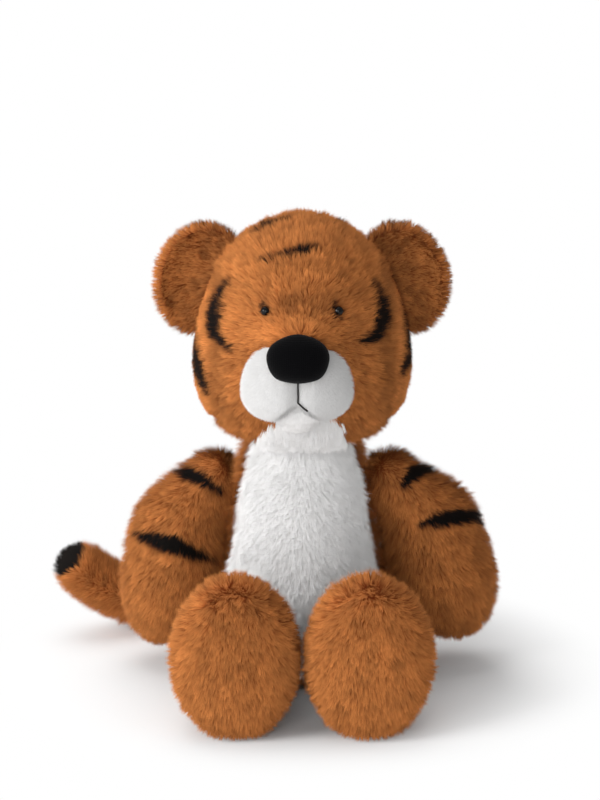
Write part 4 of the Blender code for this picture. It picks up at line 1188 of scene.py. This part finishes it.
def leg_flow(points, out):
    """Combs the leg's pile down and back, so that it shows its lit side to the front."""
    return np.tile((0.0, 0.8, -0.4), (len(points), 1))


def sole_length(points, out):
    """Lets the sole's pile stand longer at its rim, where it hides the seam."""
    return 5.6 * MM + 1.8 * MM * np.interp(np.abs(points[:, 1] - SOLE), (0.0, 0.005), (1.0, 0.0))


for side, sign in SIDES:
    upright = shaped("leg_form_" + side, leg_rows, 48)
    foot_place = (sign * 32.5 * MM, -42.0 * MM, 0.0)
    leg_form = swollen(stand(upright, foot_place, (math.pi / 2.0, 0.0, 0.0)))
    cloth = drawn_in(copy_of(leg_form, "leg_cloth"), DEPTH)
    leg_tree = tree_of(leg_form)
    stripes = []
    for share in (0.22, 0.50, 0.76):
        middle = (sign * 0.0325, -0.042 - 0.080 * share, 0.030 + 0.012 * share)
        stripes += wound_stripe(
            leg_tree, middle, (sign, 0.0, 0.0), (0.0, 0.0, 1.0), (-25, 62), 0.0030
        )
    filling_of(leg_form, "leg_" + side)
    leg = half_of(cloth, "leg_%s_plush" % side, (0, SOLE, 0), (0, 1, 0))
    sole = half_of(cloth, "foot_sole_%s_plush" % side, (0, SOLE, 0), (0, -1, 0))

    def sole_flow(points, out, middle=np.array((sign * 0.0325, SOLE, 0.042))):
        """Combs the sole's pile down, and out towards its rim."""
        away = (points - middle) / np.array((0.029, 0.029, 0.040))
        rim = np.linalg.norm(away[:, (0, 2)], axis=1, keepdims=True)
        return away * (0.25 + 1.1 * np.minimum(rim, 1.0) ** 4) + np.array((0.0, 0.0, -0.75))

    furred(
        leg, orange, leg_length, leg_flow, lean=0.8, bare=deep_in_torso, stripes=((), stripes),
        seed=61,
    )
    finish_piece(leg, "leg_" + side, "orange_plush", "leg_%s_skin" % side, fill=0.7)
    furred(sole, orange, sole_length, sole_flow, lean=1.15, shag=0.45, density=1.2, seed=62)
    finish_piece(sole, "leg_" + side, "orange_plush", "foot_sole_" + side, fill=0.8)
    for spare in (leg_form, cloth):
        bpy.data.objects.remove(spare)

# %% [markdown]
# ## Tail
# The tail is a straight roll that a Curve modifier bends along a path: out of the seat, round
# to the toy's right and up at the end. Its last centimetre is a black panel.

# %% Make the tail
tail_line = np.array([
    (5.8, 32.1, 14.5), (3.9, 35.7, 14.5), (-1.3, 43.4, 14.5), (-15.5, 55.6, 14.5),
    (-38.7, 65.0, 14.5), (-67.1, 66.4, 14.5), (-92.9, 60.3, 18.1), (-112.2, 54.9, 29.5),
    (-123.2, 51.4, 40.3), (-127.1, 50.5, 45.7),
]) * MM
tail_sizes = np.array((0, 0.61, 0.82, 0.90, 1.02, 1.10, 1.12, 1.10, 0.95, 0)) * 13.2 * MM
fine = rings_between(np.hstack((tail_line, np.ones((10, 2)))))[:, :3]
run = np.concatenate(([0.0], np.cumsum(np.linalg.norm(np.diff(fine, axis=0), axis=1))))
rows = [(0, 0, run[STEPS * k], size, size) for k, size in enumerate(tail_sizes)][::-1]
tail_form = shaped("tail_form", rows, 36, 1.0)
path_data = bpy.data.curves.new("tail_path", "CURVE")
path_data.dimensions = "3D"
line = path_data.splines.new("POLY")
line.points.add(len(fine) - 1)
for point, spot in zip(line.points, fine):
    point.co = (*spot, 1.0)
path = bpy.data.objects.new("tail_path", path_data)
bpy.context.scene.collection.objects.link(path)
apply_modifier(tail_form, "CURVE", object=path, deform_axis="POS_Z")
bpy.data.objects.remove(path)
swollen(tail_form)
cloth = drawn_in(copy_of(tail_form, "tail_cloth"), DEPTH)
tail_tree = tree_of(tail_form)
stripes = []
for k in (14, 18):
    way = Vector(fine[k + 1] - fine[k - 1]).normalized()
    across = way.cross(Vector((0.0, 0.0, 1.0))).normalized()
    ways = (across, across.cross(way))
    stripes += wound_stripe(tail_tree, Vector(fine[k]), *ways, (-60, 240), 0.0028)
tip_way = Vector((-0.665, -0.196, 0.723))
tip_seam = Vector((-121.4, 52.2, 39.6)) * MM
path_tree = KDTree(len(fine))
for index, spot in enumerate(fine):
    path_tree.insert(spot, index)
path_tree.balance()


def tail_flow(points, out):
    """Combs the pile towards the tail's end, and back, so that it shows its lit side."""
    at = np.array([path_tree.find(point)[1] for point in points])
    way = unit(fine[np.minimum(at + 1, len(fine) - 1)] - fine[np.maximum(at - 1, 0)])
    return way + np.array((0.0, 0.9, 0.0))


def tail_length(points, out):
    """Shortens the pile in the tail's seat."""
    return seated(points, 7.4 * MM)


filling_of(tail_form, "tail")
for name, way, finish, slot, node_name, dye in (
    ("tail_plush", -tip_way, orange, "orange_plush", "tail_skin", stripes),
    ("tail_tip_plush", tip_way, black, "black_plush", "tail_tip", ()),
):
    part = half_of(cloth, name, tip_seam, way)
    furred(
        part, finish, tail_length, tail_flow, lean=0.9, shag=0.28, clump=1.2 * MM, density=1.2,
        bare=deep_in_torso, stripes=((), dye), seed=71,
    )
    finish_piece(part, "tail", slot, node_name, fill=0.7)

# %% [markdown]
# ## Mouth and closing threads
# The mouth is one thread laid down the groove under the nose, which turns off to the viewer's
# right at the chin. It lies on the muzzle's own surface, found by a ray from the front. The rings
# of closing thread and the washers are CAD pieces, so they only get a finish.

# %% Stitch the mouth
chin_tree = tree_of(chin_form)


def on_front(x, z):
    """Returns the point of muzzle or chin at this place, seen from the front."""
    ray = (Vector((x, -200.0, z)) * MM, Vector((0.0, 1.0, 0.0)))
    hits = [tree.ray_cast(*ray)[0] for tree in (muzzle_tree, chin_tree)]
    depth = min(hit.y for hit in hits if hit)
    return Vector((x * MM, depth - 0.9 * MM, z * MM))


stitch = bpy.data.curves.new("mouth", "CURVE")
stitch.dimensions = "3D"
stitch.bevel_depth = 0.45 * MM
stitch.bevel_resolution = 3
stitch.use_fill_caps = True
for run_points in (
    [(-2, 168.2), (-2, 165), (-1.9, 161), (-2, 158)],
    [(-2, 158), (-0.5, 156.8), (1.2, 155.4), (2.8, 154.4)],
):
    line = stitch.splines.new("POLY")
    line.points.add(len(run_points) - 1)
    for point, (x, z) in zip(line.points, run_points):
        point.co = (*on_front(x, z), 1.0)
mouth = bpy.data.objects.new("mouth_thread", stitch)
bpy.context.scene.collection.objects.link(mouth)
pick(mouth)
bpy.ops.object.convert(target="MESH")
mouth = bpy.context.active_object
mouth.data.materials.clear()
mouth.data.materials.append(thread)
finish_piece(mouth, "head", "thread", "mouth_stitch")
for name, obj in nodes.items():
    if "seam" in name or "washer" in name:
        finish = thread if "seam" in name else washer
        for slot in obj.material_slots:
            slot.material = finish

for spare in [
    *seats, neck_ball, torso_form, head_form, head_cloth, face_cloth, muzzle_form, chin_form, skin,
    tail_form, cloth,
]:
    bpy.data.objects.remove(spare)

# %% [markdown]
# ## Floor and light
# The toy sits on a white sweep. The floor is a real white surface near the toy, so it keeps the
# shadow, and fades to plain white for the camera further out. A large soft lamp stands at the
# viewer's left, a weaker one in front and a weak one above and behind.

# %% Light the toy
bpy.ops.mesh.primitive_grid_add(x_subdivisions=8, y_subdivisions=8, size=8.0)
floor = bpy.context.active_object
floor.name = "floor"
material, tree, shader = new_material(
    "white_sweep", Roughness=0.9, Base_Color=(0.95, 0.95, 0.95, 1.0), Specular_IOR_Level=0.0
)
place = node(tree, "ShaderNodeTexCoord").outputs["Object"]
distance = node(tree, "ShaderNodeVectorMath", operation="LENGTH", in_0=place).outputs["Value"]
fade = node(
    tree, "ShaderNodeMapRange", interpolation_type="SMOOTHSTEP", in_0=distance, in_1=0.10,
    in_2=0.168, in_3=0.0,
).outputs[0]
seen = node(tree, "ShaderNodeLightPath").outputs["Is Camera Ray"]
share = node(tree, "ShaderNodeMath", operation="MULTIPLY", in_0=fade, in_1=seen).outputs[0]
glow = node(tree, "ShaderNodeEmission").outputs[0]
sweep = node(tree, "ShaderNodeMixShader", in_0=share, in_1=shader.outputs[0], in_2=glow)
tree.links.new(sweep.outputs[0], tree.nodes["Material Output"].inputs["Surface"])
floor.data.materials.append(material)


def soft_lamp(name, place, size, watts):
    """Adds a square lamp that faces the toy."""
    aim = (Vector((0.0, 0.0, 0.12)) - Vector(place)).to_track_quat("-Z", "Y").to_euler()
    bpy.ops.object.light_add(type="AREA", location=place, rotation=aim)
    lamp = bpy.context.active_object
    lamp.name = name
    lamp.data.size = size
    lamp.data.energy = watts


soft_lamp("key", (-1.8, -1.1, 0.9), 1.2, 41.0)
soft_lamp("front", (-0.3, -2.2, 0.6), 1.4, 20.5)
soft_lamp("top", (-0.3, 0.5, 1.8), 1.4, 12.0)
world = bpy.data.worlds.new("studio")
bpy.context.scene.world = world
world.use_nodes = True
tree = world.node_tree
backdrop = tree.nodes["Background"]
backdrop.inputs["Color"].default_value = (1.0, 1.0, 1.0, 1.0)
seen = node(tree, "ShaderNodeLightPath").outputs["Is Camera Ray"]
level = node(tree, "ShaderNodeMapRange", in_0=seen, in_3=0.45, in_4=1.0)
tree.links.new(level.outputs[0], backdrop.inputs["Strength"])
bpy.context.scene.view_settings.view_transform = "Standard"
